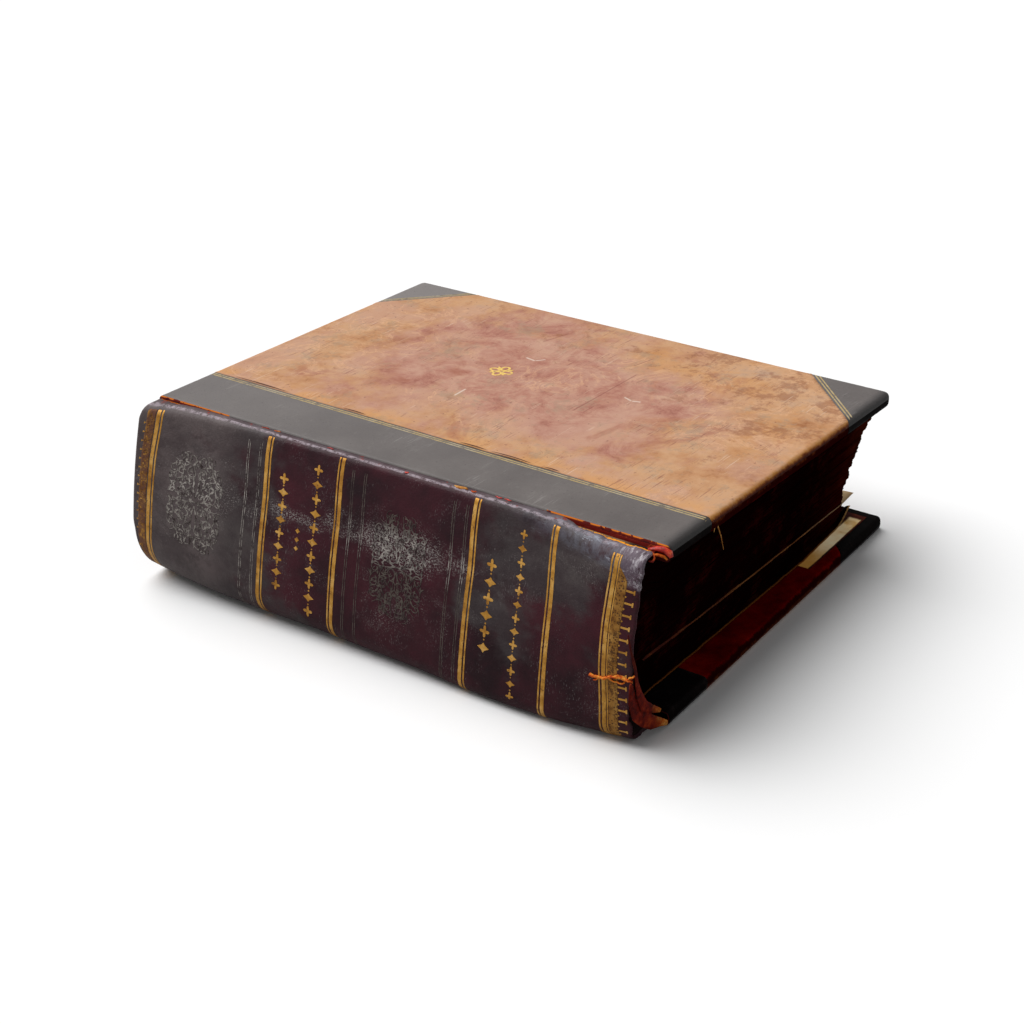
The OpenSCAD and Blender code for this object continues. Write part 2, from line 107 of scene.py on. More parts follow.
def at(x, y, z):
    """A point of the book in the frame's metres."""
    return Vector((JOINT_X + x * MM, TAIL_Y + y * MM, z * MM))


def on_front(x, y, depth):
    """A point of the closed front cover, depth below its outer face."""
    c, s = math.cos(WEDGE), math.sin(WEDGE)
    return at(x * c - depth * s, y, JOINT_H - x * s - depth * c)


def on_back(x, y, depth):
    """A point of the back cover, depth above its outer face."""
    return at(x, y, depth)


def ripple(x, y, z=0.0, seed=0.0):
    """Smooth noise from about -1 to 1. Its arguments are places divided by the size of a ripple."""
    return noise.noise(Vector((x + seed * 17.3, y - seed * 9.1, z + seed * 5.7)))


def angles(count):
    """So many angles round a full turn."""
    return [2 * math.pi * k / count for k in range(count)]


def ease(low, high, value):
    """0 below low, 1 above high, smooth between them."""
    t = min(1.0, max(0.0, (value - low) / (high - low)))
    return t * t * (3 - 2 * t)


# The spine's section: three arcs, as in the part, that change along the worn book

class Section:
    """The section at one y. Reaches and radii belong to the upper and the lower shoulder."""

    def __init__(self, upper_reach, upper_r, lower_reach, lower_r):
        self.upper = Vector((-upper_reach + upper_r, JOINT_H - GROUND_GAP - upper_r))
        self.lower = Vector((-lower_reach + lower_r, GROUND_GAP + lower_r))
        a, b = FACE_R - upper_r, FACE_R - lower_r
        v = self.lower - self.upper
        along = (a * a - b * b + v.length_squared) / (2 * v.length)
        u = v.normalized()
        self.face = self.upper + u * along + Vector((-u.y, u.x)) * math.sqrt(a * a - along * along)
        turn_a, turn_b = self.heading(self.upper), self.heading(self.lower)
        self.arcs = [(self.upper, upper_r, math.pi / 2, turn_a), (self.face, FACE_R, turn_a, turn_b),
                     (self.lower, lower_r, turn_b, 1.5 * math.pi)]
        self.lengths = [-JOINT_GAP - self.upper.x] + [r * (b - a) for _, r, a, b in self.arcs] \
            + [-JOINT_GAP - self.lower.x]

    def heading(self, p):
        return math.atan2(p.y - self.face.y, p.x - self.face.x) % (2 * math.pi)

    def point(self, part, share):
        """Point and outward normal, a share of the way along one of the five parts."""
        if part == 0:
            return Vector((-JOINT_GAP - share * self.lengths[0], JOINT_H - GROUND_GAP)), Vector((0.0, 1.0))
        if part == 4:
            return Vector((self.lower.x + share * self.lengths[4], GROUND_GAP)), Vector((0.0, -1.0))
        centre, radius, a, b = self.arcs[part - 1]
        angle = a + share * (b - a)
        out = Vector((math.cos(angle), math.sin(angle)))
        return centre + out * radius, out

    def leaves_x(self, z):
        """X of the leaves' backs at a height, inside the leather and its lining."""
        for arc, inside in ((0, z >= self.upper.y), (2, z <= self.lower.y), (1, True)):
            if inside:
                centre, radius = self.arcs[arc][:2]
                reach = max(radius - LEAVES_D, 0.2)
                return centre.x - math.sqrt(max(0.0, reach ** 2 - (z - centre.y) ** 2))


# y, then the upper shoulder's reach and radius and the lower shoulder's, as the book has settled
STATIONS = [
    (4.0, 15.5, 8.0, 23.6, 11.0),
    (20.0, 15.5, 7.5, 25.4, 10.0),
    (37.0, 12.5, 6.0, 26.8, 8.5),
    (52.0, 9.3, 4.6, 27.7, 7.5),
    (82.0, 6.9, 3.6, 27.9, 7.0),
    (130.0, 6.3, 3.2, 27.2, 10.5),
    (171.0, 6.5, 3.3, 27.1, 12.5),
    (213.0, 6.8, 3.5, 27.7, 14.5),
    (245.0, 7.6, 4.0, 28.2, 16.5),
    (270.0, 10.0, 5.2, 28.4, 20.5),
    (290.0, 15.0, 7.0, 28.3, 25.0),
]


@functools.lru_cache(maxsize=None)
def section_near(tenths):
    """The section at y, in tenths of a millimetre, on a smooth curve through the stations."""
    y = min(max(tenths / 10.0, STATIONS[0][0]), STATIONS[-1][0])
    i = max(n for n in range(len(STATIONS) - 1) if STATIONS[n][0] <= y)
    a, b = STATIONS[i], STATIONS[i + 1]
    before, after = STATIONS[max(0, i - 1)], STATIONS[min(len(STATIONS) - 1, i + 2)]
    span = b[0] - a[0]
    t = (y - a[0]) / span
    sizes = []
    for k in range(1, 5):
        slope_a = (b[k] - before[k]) / (b[0] - before[0]) * span
        slope_b = (after[k] - a[k]) / (after[0] - a[0]) * span
        sizes.append((2 * t ** 3 - 3 * t ** 2 + 1) * a[k] + (t ** 3 - 2 * t ** 2 + t) * slope_a
                     + (3 * t ** 2 - 2 * t ** 3) * b[k] + (t ** 3 - t ** 2) * slope_b)
    return Section(*sizes)


def section_at(y):
    return section_near(round(y * 10))


# s runs round the section from the joint, in millimetres at the middle of the book
MIDDLE = section_at(150.0)
FLAT_TOP, FLAT_FOOT = MIDDLE.lengths[0], MIDDLE.lengths[4]
SPINE_LENGTH = sum(MIDDLE.lengths)


def spine_section(s, y):
    """Point and outward normal of the section at y."""
    section = section_at(y)
    for part, length in enumerate(MIDDLE.lengths):
        if s <= length or part == 4:
            return section.point(part, s / length)
        s -= length


# Materials

class Value:
    """One output of a node tree. Arithmetic on it adds Math nodes."""

    def __init__(self, nodes, socket):
        self.nodes = nodes
        self.socket = socket

    def __add__(self, other):
        return self.nodes.math("ADD", self, other)

    __radd__ = __add__

    def __sub__(self, other):
        return self.nodes.math("SUBTRACT", self, other)

    def __rsub__(self, other):
        return self.nodes.math("SUBTRACT", other, self)

    def __mul__(self, other):
        return self.nodes.math("MULTIPLY", self, other)

    __rmul__ = __mul__

    def __truediv__(self, other):
        return self.nodes.math("DIVIDE", self, other)

    def __pow__(self, other):
        return self.nodes.math("POWER", self, other)


class Nodes:
    """A node tree that starts empty, and the ways to add to it."""

    def __init__(self, tree):
        self.tree = tree
        tree.nodes.clear()

    def node(self, kind, settings=None, inputs=None):
        """Adds a node. Settings come first, then a value or a link for each named input."""
        made = self.tree.nodes.new(kind)
        for key, value in (settings or {}).items():
            if key == "stops":
                self.set_stops(made.color_ramp, value)
            else:
                setattr(made, key, value)
        self.give(made, inputs or {})
        return made

    def give(self, node, inputs):
        """Links or sets a node's sockets."""
        for key, value in inputs.items():
            if isinstance(value, Value):
                self.tree.links.new(value.socket, node.inputs[key])
            else:
                node.inputs[key].default_value = value

    @staticmethod
    def set_stops(ramp, stops):
        while len(ramp.elements) > 1:
            ramp.elements.remove(ramp.elements[-1])
        for i, (place, colour) in enumerate(stops):
            element = ramp.elements[0] if i == 0 else ramp.elements.new(place)
            element.position = place
            element.color = (*colour, 1.0)

    def value(self, kind, settings=None, inputs=None, output=0):
        return Value(self, self.node(kind, settings, inputs).outputs[output])

    def math(self, operation, a, b=0.0, clamp=False):
        return self.value("ShaderNodeMath", {"operation": operation, "use_clamp": clamp}, {0: a, 1: b})

    def split(self, vector):
        parts = self.node("ShaderNodeSeparateXYZ", None, {0: vector})
        return [Value(self, socket) for socket in parts.outputs]

    def stretch(self, vector, factors):
        return self.value("ShaderNodeVectorMath", {"operation": "MULTIPLY"}, {0: vector, 1: factors})

    def noise(self, vector, scale, detail=4.0, rough=0.55, distortion=0.0):
        return self.value("ShaderNodeTexNoise", None, {
            "Vector": vector, "Scale": scale, "Detail": detail, "Roughness": rough,
            "Distortion": distortion})

    def cells(self, vector, scale, randomness=1.0):
        return self.value("ShaderNodeTexVoronoi", {"feature": "F1"}, {
            "Vector": vector, "Scale": scale, "Randomness": randomness})

    def between(self, value, low, high):
        """A mask that rises smoothly from 0 at low to 1 at high."""
        return self.value("ShaderNodeMapRange", {"interpolation_type": "SMOOTHSTEP"}, {
            "Value": value, "From Min": low, "From Max": high})

    def below(self, value, low, high):
        """A mask that falls smoothly from 1 at low to 0 at high."""
        return 1.0 - self.between(value, low, high)

    def patches(self, vector, grain, low, high):
        """A mask of patches. grain is the noise's scale, detail and so on."""
        return self.between(self.noise(vector, *grain), low, high)

    def wander(self, vector, grain, reach):
        """A noise about 0."""
        return (self.noise(vector, *grain) - 0.5) * reach

    def colour(self, mask, a, b):
        """Colour a where the mask is 0 and b where it is 1."""
        four = [c if isinstance(c, Value) else (*c, 1.0) for c in (a, b)]
        return self.value("ShaderNodeMix", {"data_type": "RGBA", "blend_type": "MIX"},
                          {0: mask, 6: four[0], 7: four[1]}, output=2)

    def ramp(self, value, stops):
        return self.value("ShaderNodeValToRGB", {"stops": stops}, {0: value})

    def bump(self, height, strength, distance, normal=None):
        inputs = {"Height": height, "Strength": strength, "Distance": distance}
        if normal:
            inputs["Normal"] = normal
        return self.value("ShaderNodeBump", None, inputs)


class Finish(Nodes):
    """A material with one Principled shader, and the ways to feed it."""

    def __init__(self, name, **constants):
        self.material = bpy.data.materials.new(name)
        self.material.use_nodes = True
        super().__init__(self.material.node_tree)
        self.shader = self.node("ShaderNodeBsdfPrincipled")
        self.node("ShaderNodeOutputMaterial", None, {"Surface": Value(self, self.shader.outputs[0])})
        self.feed(**constants)
        self.tone = None

    def feed(self, **sockets):
        """Links or sets the shader's own sockets."""
        self.give(self.shader, {name.replace("_", " "): value for name, value in sockets.items()})
        return self.material

    def paint(self, mask, colour):
        """Lays a colour over the tone so far, where the mask is above 0."""
        self.tone = self.colour(mask, self.tone, colour)

    def place(self):
        """The point on the piece, in metres of the frame."""
        return self.value("ShaderNodeTexCoord", output="Object")

    def book_place(self):
        """x, y and z of the point in book millimetres."""
        x, y, z = self.split(self.place())
        return (x - JOINT_X) / MM, (y - TAIL_Y) / MM, z / MM

    def sheet(self):
        """The three numbers that piece() stores at each point of a sheet."""
        return self.value("ShaderNodeAttribute", {"attribute_name": "sheet"}, output="Vector")


def scratches(f, vector, angle, scale, threshold):
    """Thin broken lines that run in one direction."""
    turned = f.value("ShaderNodeMapping", None, {
        "Vector": vector, "Rotation": (0.0, 0.0, angle), "Scale": (1.0, 26.0, 8.0)})
    lines = f.noise(turned, scale, 2.0, 0.5)
    broken = f.patches(vector, (scale * 0.6, 2.0), 0.5, 0.62)
    return f.between(lines, threshold, threshold + 0.04) * broken


def near_line(f, x, y, a, b, width):
    """A mask along the straight line from a to b, in the plane of x and y."""
    run = Vector((b[0] - a[0], b[1] - a[1]))
    length = run.length
    run.normalize()
    along = (x - a[0]) * run.x + (y - a[1]) * run.y
    off = f.math("ABSOLUTE", (y - a[1]) * run.x - (x - a[0]) * run.y)
    ends = f.between(along, 0.0, 1.0) * f.below(along, length - 1.0, length)
    return f.below(off, width * 0.4, width) * ends


def side_cloth():
    """Book cloth, once maroon, faded to tan at its edges and to pink in the middle."""
    f = Finish("faded_cloth", Specular_IOR_Level=0.1)
    p = f.place()
    x, y, _ = f.book_place()
    inside, depth, gap = f.split(f.sheet())
    drift = f.noise(p, 11.0, 4.0, 0.65)
    far = (((x - 125.0) / 84.0) ** 2.0 + ((y - 150.0) / 138.0) ** 2.0) ** 0.5
    torn_up = f.noise(p, 38.0, 5.0, 0.7)
    middle = f.below(far + (drift - 0.5) * 2.2 + (torn_up - 0.5) * 1.3, 0.45, 1.0)
    tan = f.ramp(f.noise(p, 34.0, 6.0, 0.72), [
        (0.28, (0.33, 0.130, 0.052)), (0.42, (0.52, 0.265, 0.130)), (0.56, (0.60, 0.345, 0.190)),
        (0.70, (0.50, 0.320, 0.215))])
    pink = f.ramp(f.noise(p, 48.0, 6.0, 0.76, 0.5), [
        (0.30, (0.30, 0.110, 0.080)), (0.44, (0.44, 0.200, 0.145)), (0.58, (0.54, 0.300, 0.215)),
        (0.70, (0.58, 0.36, 0.24))])
    f.tone = f.colour(middle, tan, pink)
    # pinker towards the head and the spine, orange towards the tail
    rosy = f.patches(p, (24.0, 5.0, 0.7), 0.44, 0.60) * f.below(x - y * 0.4, 60.0, 190.0)
    f.paint(rosy * 0.55, (0.55, 0.315, 0.235))
    glow = f.patches(p, (21.0, 4.0, 0.7, 0.4), 0.47, 0.62) * f.between(x - y * 0.5, 20.0, 150.0)
    f.paint(glow * 0.5, (0.60, 0.29, 0.105))
    # orange warmth along the spine's leather and at the outer edges
    warm = f.below(gap, 2.0, 16.0) * f.patches(p, (36.0, 4.0, 0.6), 0.42, 0.58)
    f.paint(warm * 0.7, (0.66, 0.33, 0.12))
    # clouds of the old maroon, and paler marbling between them
    cloud = f.patches(p, (19.0, 5.0, 0.68, 0.8), 0.57, 0.68)
    f.paint(cloud * 0.6, (0.36, 0.135, 0.085))
    marble = f.noise(p, 27.0, 5.0, 0.6, 2.2)
    vein = f.below(f.math("ABSOLUTE", marble - 0.5), 0.0, 0.030)
    patches = f.patches(p, (12.0, 3.0, 0.6), 0.46, 0.60)
    f.paint(vein * patches * 0.5, (0.74, 0.44, 0.26))
    # grey and greenish water stains, browner towards the tail and the fore-edge
    stain = f.patches(p, (40.0, 6.0, 0.80), 0.53, 0.66)
    f.paint(stain * 0.5, (0.36, 0.26, 0.180))
    brown = f.between(f.noise(p, 58.0, 6.0, 0.75) + 0.10 * f.between(x + (200.0 - y) * 0.5, 150.0, 260.0),
                      0.60, 0.70)
    f.paint(brown * 0.55, (0.27, 0.105, 0.055))
    speck = f.patches(p, (430.0, 3.0, 0.65), 0.64, 0.72) * 0.6
    f.paint(speck, (0.20, 0.075, 0.05))
    scratch = scratches(f, p, 0.5, 60.0, 0.62)
    f.paint(scratch * 0.55, (0.24, 0.08, 0.06))
    pale = scratches(f, p, -0.9, 45.0, 0.65)
    f.paint(pale * 0.5, (0.75, 0.55, 0.42))
    # long scratches and two white nicks on the front
    for a, b, width in (((100.2, 114.4), (159.7, 114.4), 0.55), ((170.4, 179.2), (189.9, 175.0), 0.5),
                        ((168.0, 122.0), (184.0, 119.0), 0.4)):
        f.paint(near_line(f, x, y, a, b, width) * 0.55, (0.25, 0.085, 0.065))
    for a, b, width in (((146.7, 173.7), (145.3, 166.6), 0.8), ((145.3, 167.0), (150.3, 163.2), 0.7),
                        ((129.9, 103.7), (127.5, 97.9), 0.7), ((127.5, 98.0), (129.1, 93.2), 0.8),
                        ((82.6, 172.4), (93.5, 172.9), 0.7)):
        f.paint(near_line(f, x, y, a, b, width) * 0.75, (0.76, 0.62, 0.52))
    # painted shadow in the slits where the cloth has lifted off the spine's leather
    slit_shadow = 0.0
    for middle_y, half in ((199.0, 8.0), (128.0, 9.0), (106.5, 13.0), (84.0, 5.0), (258.0, 20.0)):
        lens = f.math("ABSOLUTE", y - middle_y) / half
        off = lens ** 2.0 + f.math("ABSOLUTE", gap - 1.1) / 1.0
        slit_shadow = f.math("MAXIMUM", slit_shadow, f.below(off, 0.7, 1.0))
    f.paint(slit_shadow * 0.9, (0.045, 0.012, 0.008))
    # worn rims: golden brown, then rust, then the dark red that is left on the edge, deepened near black as
    # painted shade
    fray = depth + f.wander(p, (240.0, 5.0, 0.75), 2.6) + f.wander(p, (70.0, 3.0), 1.2)
    edge = f.ramp(f.math("DIVIDE", fray, 4.0), [
        (0.0, (0.52, 0.25, 0.075)), (0.16, (0.48, 0.19, 0.040)), (0.32, (0.20, 0.050, 0.012)),
        (0.50, (0.055, 0.008, 0.003))])
    rim = f.below(inside + f.wander(p, (260.0, 4.0, 0.7), 3.4), 0.4, 2.4)
    f.paint(rim, edge)
    weave = f.noise(f.stretch(p, (1.0, 0.35, 1.0)), 1900.0, 2.0, 0.6) \
        + f.noise(f.stretch(p, (0.35, 1.0, 1.0)), 1900.0, 2.0, 0.6)
    mottle = f.noise(p, 120.0, 4.0, 0.6)
    normal = f.bump(weave, 0.3, 0.0002)
    normal = f.bump(mottle + scratch * -0.4 + pale * -0.3, 0.35, 0.0006, normal)
    return f.feed(Base_Color=f.tone, Normal=normal, Roughness=0.58 + 0.3 * mottle)


def turned_cloth():
    """The same cloth where it is turned in and has kept its red."""
    f = Finish("red_cloth", Specular_IOR_Level=0.0)
    p = f.place()
    inside, depth, _ = f.split(f.sheet())
    f.tone = f.ramp(f.noise(p, 60.0, 5.0, 0.7), [
        (0.35, (0.085, 0.0006, 0.0008)), (0.55, (0.19, 0.0012, 0.0013)), (0.7, (0.30, 0.0070, 0.0030))])
    # near black at the board's edges: partly painted shade, with real rust patches
    rim = f.below(inside + f.wander(p, (120.0, 4.0, 0.7), 3.0), 0.4, 1.4)
    rust = f.patches(p, (150.0, 5.0, 0.75), 0.46, 0.62) * f.below(depth, 2.4, 4.4)
    f.paint(rim, f.colour(rust, (0.026, 0.0020, 0.0014), (0.15, 0.034, 0.009)))
    weave = f.noise(f.stretch(p, (1.0, 0.35, 1.0)), 1900.0, 2.0, 0.6)
    return f.feed(Base_Color=f.tone, Roughness=0.85, Normal=f.bump(weave, 0.3, 0.0002))


def side_leather():
    """Black leather that has gone grey, with rubbed edges and black turn-ins."""
    f = Finish("grey_black_leather", Specular_IOR_Level=0.30)
    p = f.place()
    x, y, _ = f.book_place()
    _, depth, _ = f.split(f.sheet())
    f.tone = f.ramp(f.noise(p, 22.0, 5.0, 0.6), [
        (0.35, (0.088, 0.074, 0.070)), (0.55, (0.112, 0.096, 0.090)), (0.70, (0.140, 0.122, 0.114))])
    # painted sheen: paler towards the head
    pale = f.between(y, 60.0, 300.0)
    f.paint(pale * 0.35, (0.19, 0.175, 0.170))
    # paler still by the head corner
    by_head_corner = f.between(x, 150.0, 170.0) * f.between(y, 235.0, 260.0)
    f.paint(by_head_corner * 0.45, (0.25, 0.225, 0.215))
    grain = f.cells(p, 1300.0)
    fine = f.noise(p, 900.0, 4.0, 0.6)
    scratch = scratches(f, p, 0.2, 70.0, 0.61)
    f.paint(scratch * 0.5, (0.24, 0.22, 0.21))
    rubbed = f.patches(p, (150.0, 5.0, 0.78), 0.57, 0.70)
    f.paint(rubbed * 0.35, (0.19, 0.17, 0.16))
    pits = f.patches(p, (620.0, 3.0, 0.6), 0.62, 0.70)
    f.paint(pits * 0.5, (0.05, 0.042, 0.04))
    # darker by the tail edge, and nearly black below the rim, partly the leather's own black and partly
    # painted shade
    near_tail = f.below(y + f.wander(p, (90.0, 4.0, 0.7), 3.0), 1.0, 6.5)
    f.paint(near_tail * 0.88, (0.010, 0.0075, 0.0075))
    rim = f.between(depth + f.wander(p, (200.0, 3.0), 0.9), 0.25, 1.2)
    f.paint(rim, (0.0045, 0.0032, 0.0032))
    normal = f.bump(grain, 0.10, 0.0003)
    normal = f.bump(fine, 0.18, 0.0003, normal)
    return f.feed(Base_Color=f.tone, Roughness=0.42 + 0.18 * fine, Normal=normal)


def black_leather():
    """The same leather at the boards' edges and where it is turned in, still black and darkened further as
    painted shade.
    """
    f = Finish("black_leather", Specular_IOR_Level=0.01)
    p = f.place()
    # near black: the leather's own black, deepened as painted shade
    f.tone = f.ramp(f.noise(p, 120.0, 5.0, 0.7), [
        (0.35, (0.0016, 0.0011, 0.0011)), (0.60, (0.0045, 0.0030, 0.0030)), (0.74, (0.020, 0.014, 0.013))])
    grain = f.cells(p, 1300.0)
    return f.feed(Base_Color=f.tone, Roughness=0.6, Normal=f.bump(grain, 0.12, 0.0003))


def spine_skin():
    """Dark purple-brown leather, scuffed grey where hands and shelves rub it."""
    f = Finish("spine_leather", Specular_IOR_Level=0.16)
    p = f.place()
    s, y, _ = f.split(f.sheet())
    q = f.stretch(f.sheet(), (MM, MM, MM))
    deep = f.ramp(f.noise(p, 26.0, 5.0, 0.62), [
        (0.34, (0.015, 0.0036, 0.0062)), (0.48, (0.036, 0.0066, 0.0115)), (0.62, (0.058, 0.0095, 0.0165))])
    # greyer towards the head and at the tail, redder between the panels
    middle = f.between(y, 94.0, 106.0) * f.below(y, 172.0, 192.0)
    grey = f.between(f.noise(q, 17.0, 5.0, 0.62) + 0.20 * f.between(y, 190.0, 235.0)
                     + 0.08 * f.below(y, 40.0, 100.0) - 0.11 * middle, 0.50, 0.66)
    f.tone = f.colour(grey * 0.85, deep, f.ramp(f.noise(q, 42.0, 5.0, 0.7), [
        (0.35, (0.040, 0.030, 0.032)), (0.52, (0.062, 0.050, 0.051)), (0.68, (0.092, 0.078, 0.076))]))
    grain = f.cells(q, 900.0)
    # fine speckle: strong in the belt that rubs on the shelf and over the stamped blocks
    off_belt = f.math("ABSOLUTE", s - (34.5 + 0.05 * (y - 90.0)))
    belt = f.below(off_belt + f.wander(q, (60.0, 4.0, 0.7), 14.0), 1.5, 12.0)
    belt = belt * f.between(y, 76.0, 96.0) * f.below(y, 196.0, 250.0)
    block = 0.0
    for middle_y, half in ((UPPER_BLOCK_Y, 21.0), (LOWER_BLOCK_Y, 19.0)):
        over = f.below(f.math("ABSOLUTE", y - middle_y) / half, 0.75, 1.25)
        across = f.below(f.math("ABSOLUTE", s - 49.0) / 31.0, 0.7, 1.2)
        block = f.math("MAXIMUM", block, over * across)
    dust = f.noise(q, 30.0, 4.0, 0.7, 0.5)
    where = f.between(dust + 0.15 * belt + 0.12 * block, 0.54, 0.76)
    grit = f.between(f.noise(q, 1050.0, 3.0, 0.8) + 0.05 * belt, 0.555, 0.63)
    f.paint(grit * where * (0.55 + 0.3 * belt), (0.40, 0.365, 0.345))
    cloud = f.patches(q, (40.0, 5.0, 0.75), 0.40, 0.62)
    f.paint(f.between(y, 228.0, 246.0) * (0.20 + 0.42 * cloud), (0.165, 0.130, 0.128))
    haze = f.patches(f.stretch(q, (1.0, 0.45, 1.0)), (95.0, 5.0, 0.75), 0.52, 0.72)
    f.paint(haze * where * 0.30, (0.16, 0.135, 0.135))
    # long hairline marks along the rules and slanting wear
    hair = f.noise(f.stretch(q, (0.03, 1.0, 1.0)), 1300.0, 2.0, 0.5)
    lined = f.patches(f.stretch(q, (0.25, 1.0, 1.0)), (60.0, 3.0, 0.7), 0.52, 0.66)
    f.paint(f.between(hair, 0.60, 0.66) * lined * 0.38, (0.15, 0.125, 0.13))
    slant = scratches(f, q, 0.9, 80.0, 0.62)
    f.paint(slant * 0.45, (0.19, 0.16, 0.16))
    # the upper shoulder's line, lilac-grey, partly rubbed wear and partly painted highlight, and the maroon
    # flat behind it
    behind = f.below(s + f.wander(q, (60.0, 3.0), 1.6), 2.0, 3.4)
    f.paint(behind * 0.8, f.ramp(f.noise(q, 70.0, 5.0, 0.7), [
        (0.36, (0.050, 0.030, 0.034)), (0.52, (0.098, 0.070, 0.078)), (0.66, (0.145, 0.115, 0.125))]))
    ridge = f.math("ABSOLUTE", s - 3.3 + f.wander(q, (45.0, 3.0), 1.3))
    # rubbed wear and painted highlight along the ridge
    rubbed = f.below(ridge, 0.25, 1.25) * f.patches(q, (320.0, 5.0, 0.85), 0.40, 0.56)
    f.paint(rubbed * 0.9, (0.40, 0.33, 0.37))
    # bluish-grey streaks on the shoulder towards the tail: painted highlight over rubbed wear
    tail_ridge = f.below(y, 30.0, 85.0) * f.below(s, 6.0, 12.0)
    f.paint(tail_ridge * f.patches(q, (90.0, 5.0, 0.75), 0.36, 0.60) * 0.75, (0.15, 0.152, 0.185))
    streak = f.noise(f.stretch(q, (1.0, 0.3, 1.0)), 330.0, 4.0, 0.8)
    f.paint(tail_ridge * f.between(streak, 0.55, 0.66) * 0.7, (0.34, 0.35, 0.41))
    # small rust-red chips near the joint
    chip = f.patches(q, (150.0, 3.0, 0.7), 0.60, 0.64) * f.below(s, 2.5, 4.0)
    f.paint(chip * 0.8, (0.22, 0.018, 0.010))
    # the abraded corner at the tail
    tail = f.below(y + s * 0.75, 18.0, 24.0) * f.between(s, 1.6, 2.8)
    tail = tail * f.below(s, 12.0, 18.0)
    chafe = f.noise(f.stretch(q, (1.0, 1.6, 1.0)), 260.0, 5.0, 0.85)
    f.paint(tail * 0.85, (0.135, 0.095, 0.120))
    f.paint(f.between(chafe, 0.48, 0.64) * tail, (0.50, 0.46, 0.49))
    bare = f.patches(q, (330.0, 4.0, 0.7), 0.55, 0.62) * f.below(y, 6.5, 11.0)
    f.paint(bare * 0.8, (0.020, 0.006, 0.005))
    fine = f.noise(q, 700.0, 5.0, 0.65)
    normal = f.bump(grain, 0.16, 0.0004)
    normal = f.bump(fine, 0.30, 0.0004, normal)
    normal = f.bump(haze + grit * 0.5, 0.15, 0.0003, normal)
    return f.feed(Base_Color=f.tone, Roughness=0.34 + 0.24 * fine + 0.22 * grit, Normal=normal)


def gold_leaf():
    """Gold leaf that has rubbed through to the leather in places."""
    f = Finish("worn_gold", Specular_IOR_Level=0.25)
    p = f.place()
    worn = f.patches(p, (420.0, 5.0, 0.78), 0.57, 0.66)
    f.tone = f.ramp(f.noise(p, 150.0, 4.0, 0.6), [
        (0.35, (0.38, 0.165, 0.022)), (0.5, (0.58, 0.285, 0.045)), (0.65, (0.74, 0.42, 0.11))])
    f.paint(worn * 0.75, (0.10, 0.035, 0.018))
    return f.feed(Base_Color=f.tone, Metallic=0.35 - 0.25 * worn, Roughness=0.48 + 0.2 * worn,
                  Normal=f.bump(f.noise(p, 1500.0, 3.0), 0.2, 0.0002))


def gold_ground():
    """A gilt band stippled with dark dots. Its sheet says at which end it is."""
    f = Finish("stippled_gold", Specular_IOR_Level=0.1)
    q = f.stretch(f.sheet(), (MM, MM, MM))
    _, _, end = f.split(f.sheet())
    dots = f.below(f.cells(q, 820.0, 0.75), 0.26, 0.42)
    worn = f.patches(q, (300.0, 5.0, 0.8), 0.50, 0.62)
    f.tone = f.ramp(f.noise(q, 140.0, 4.0, 0.6), [
        (0.35, (0.20, 0.080, 0.016)), (0.5, (0.36, 0.165, 0.035)), (0.65, (0.50, 0.26, 0.065))])
    f.paint(f.math("MAXIMUM", dots * 0.85, worn * 0.8), (0.045, 0.018, 0.012))
    # browner and duller at the head
    browned = f.between(end, 0.4, 0.6) * f.patches(q, (420.0, 4.0, 0.8), 0.40, 0.54)
    f.paint(browned * 0.8, (0.150, 0.068, 0.050))
    return f.feed(Base_Color=f.tone, Roughness=0.6)


def pale_gold():
    """The thin, dull gold lines on the boards."""
    f = Finish("dull_gold", Specular_IOR_Level=0.3)
    p = f.place()
    worn = f.patches(p, (170.0, 5.0, 0.8), 0.50, 0.64)
    f.tone = f.ramp(f.noise(p, 60.0, 3.0, 0.6), [
        (0.35, (0.46, 0.38, 0.24)), (0.55, (0.46, 0.33, 0.13)), (0.7, (0.52, 0.41, 0.22))])
    f.paint(worn * 0.75, (0.135, 0.110, 0.085))
    return f.feed(Base_Color=f.tone, Roughness=0.55 + 0.2 * worn)


def cover_gold():
    """The brighter gold of the small ornament on the front cover."""
    f = Finish("cover_gold", Specular_IOR_Level=0.3)
    p = f.place()
    worn = f.patches(p, (420.0, 4.0, 0.7), 0.52, 0.62)
    f.tone = f.colour(worn * 0.8, (0.82, 0.56, 0.13), (0.50, 0.26, 0.13))
    return f.feed(Base_Color=f.tone, Roughness=0.5, Metallic=0.2 - 0.2 * worn)


def stamped_skin():
    """The raised edges of the blind stamping, grey with dust."""
    f = Finish("dusty_stamping", Specular_IOR_Level=0.2)
    p = f.place()
    _, y, z = f.book_place()
    belt = f.below(f.math("ABSOLUTE", z - 57.5), 3.0, 12.0)
    light = f.math("MAXIMUM", belt, 0.72 * f.between(y, 200.0, 225.0), clamp=True)
    rubbed = f.patches(p, (260.0, 5.0, 0.8), 0.38, 0.60)
    dusty = f.colour(light, (0.120, 0.098, 0.082), (0.46, 0.42, 0.385))
    f.tone = f.colour(rubbed, (0.036, 0.023, 0.022), dusty)
    return f.feed(Base_Color=f.tone, Roughness=0.55 + 0.15 * rubbed)


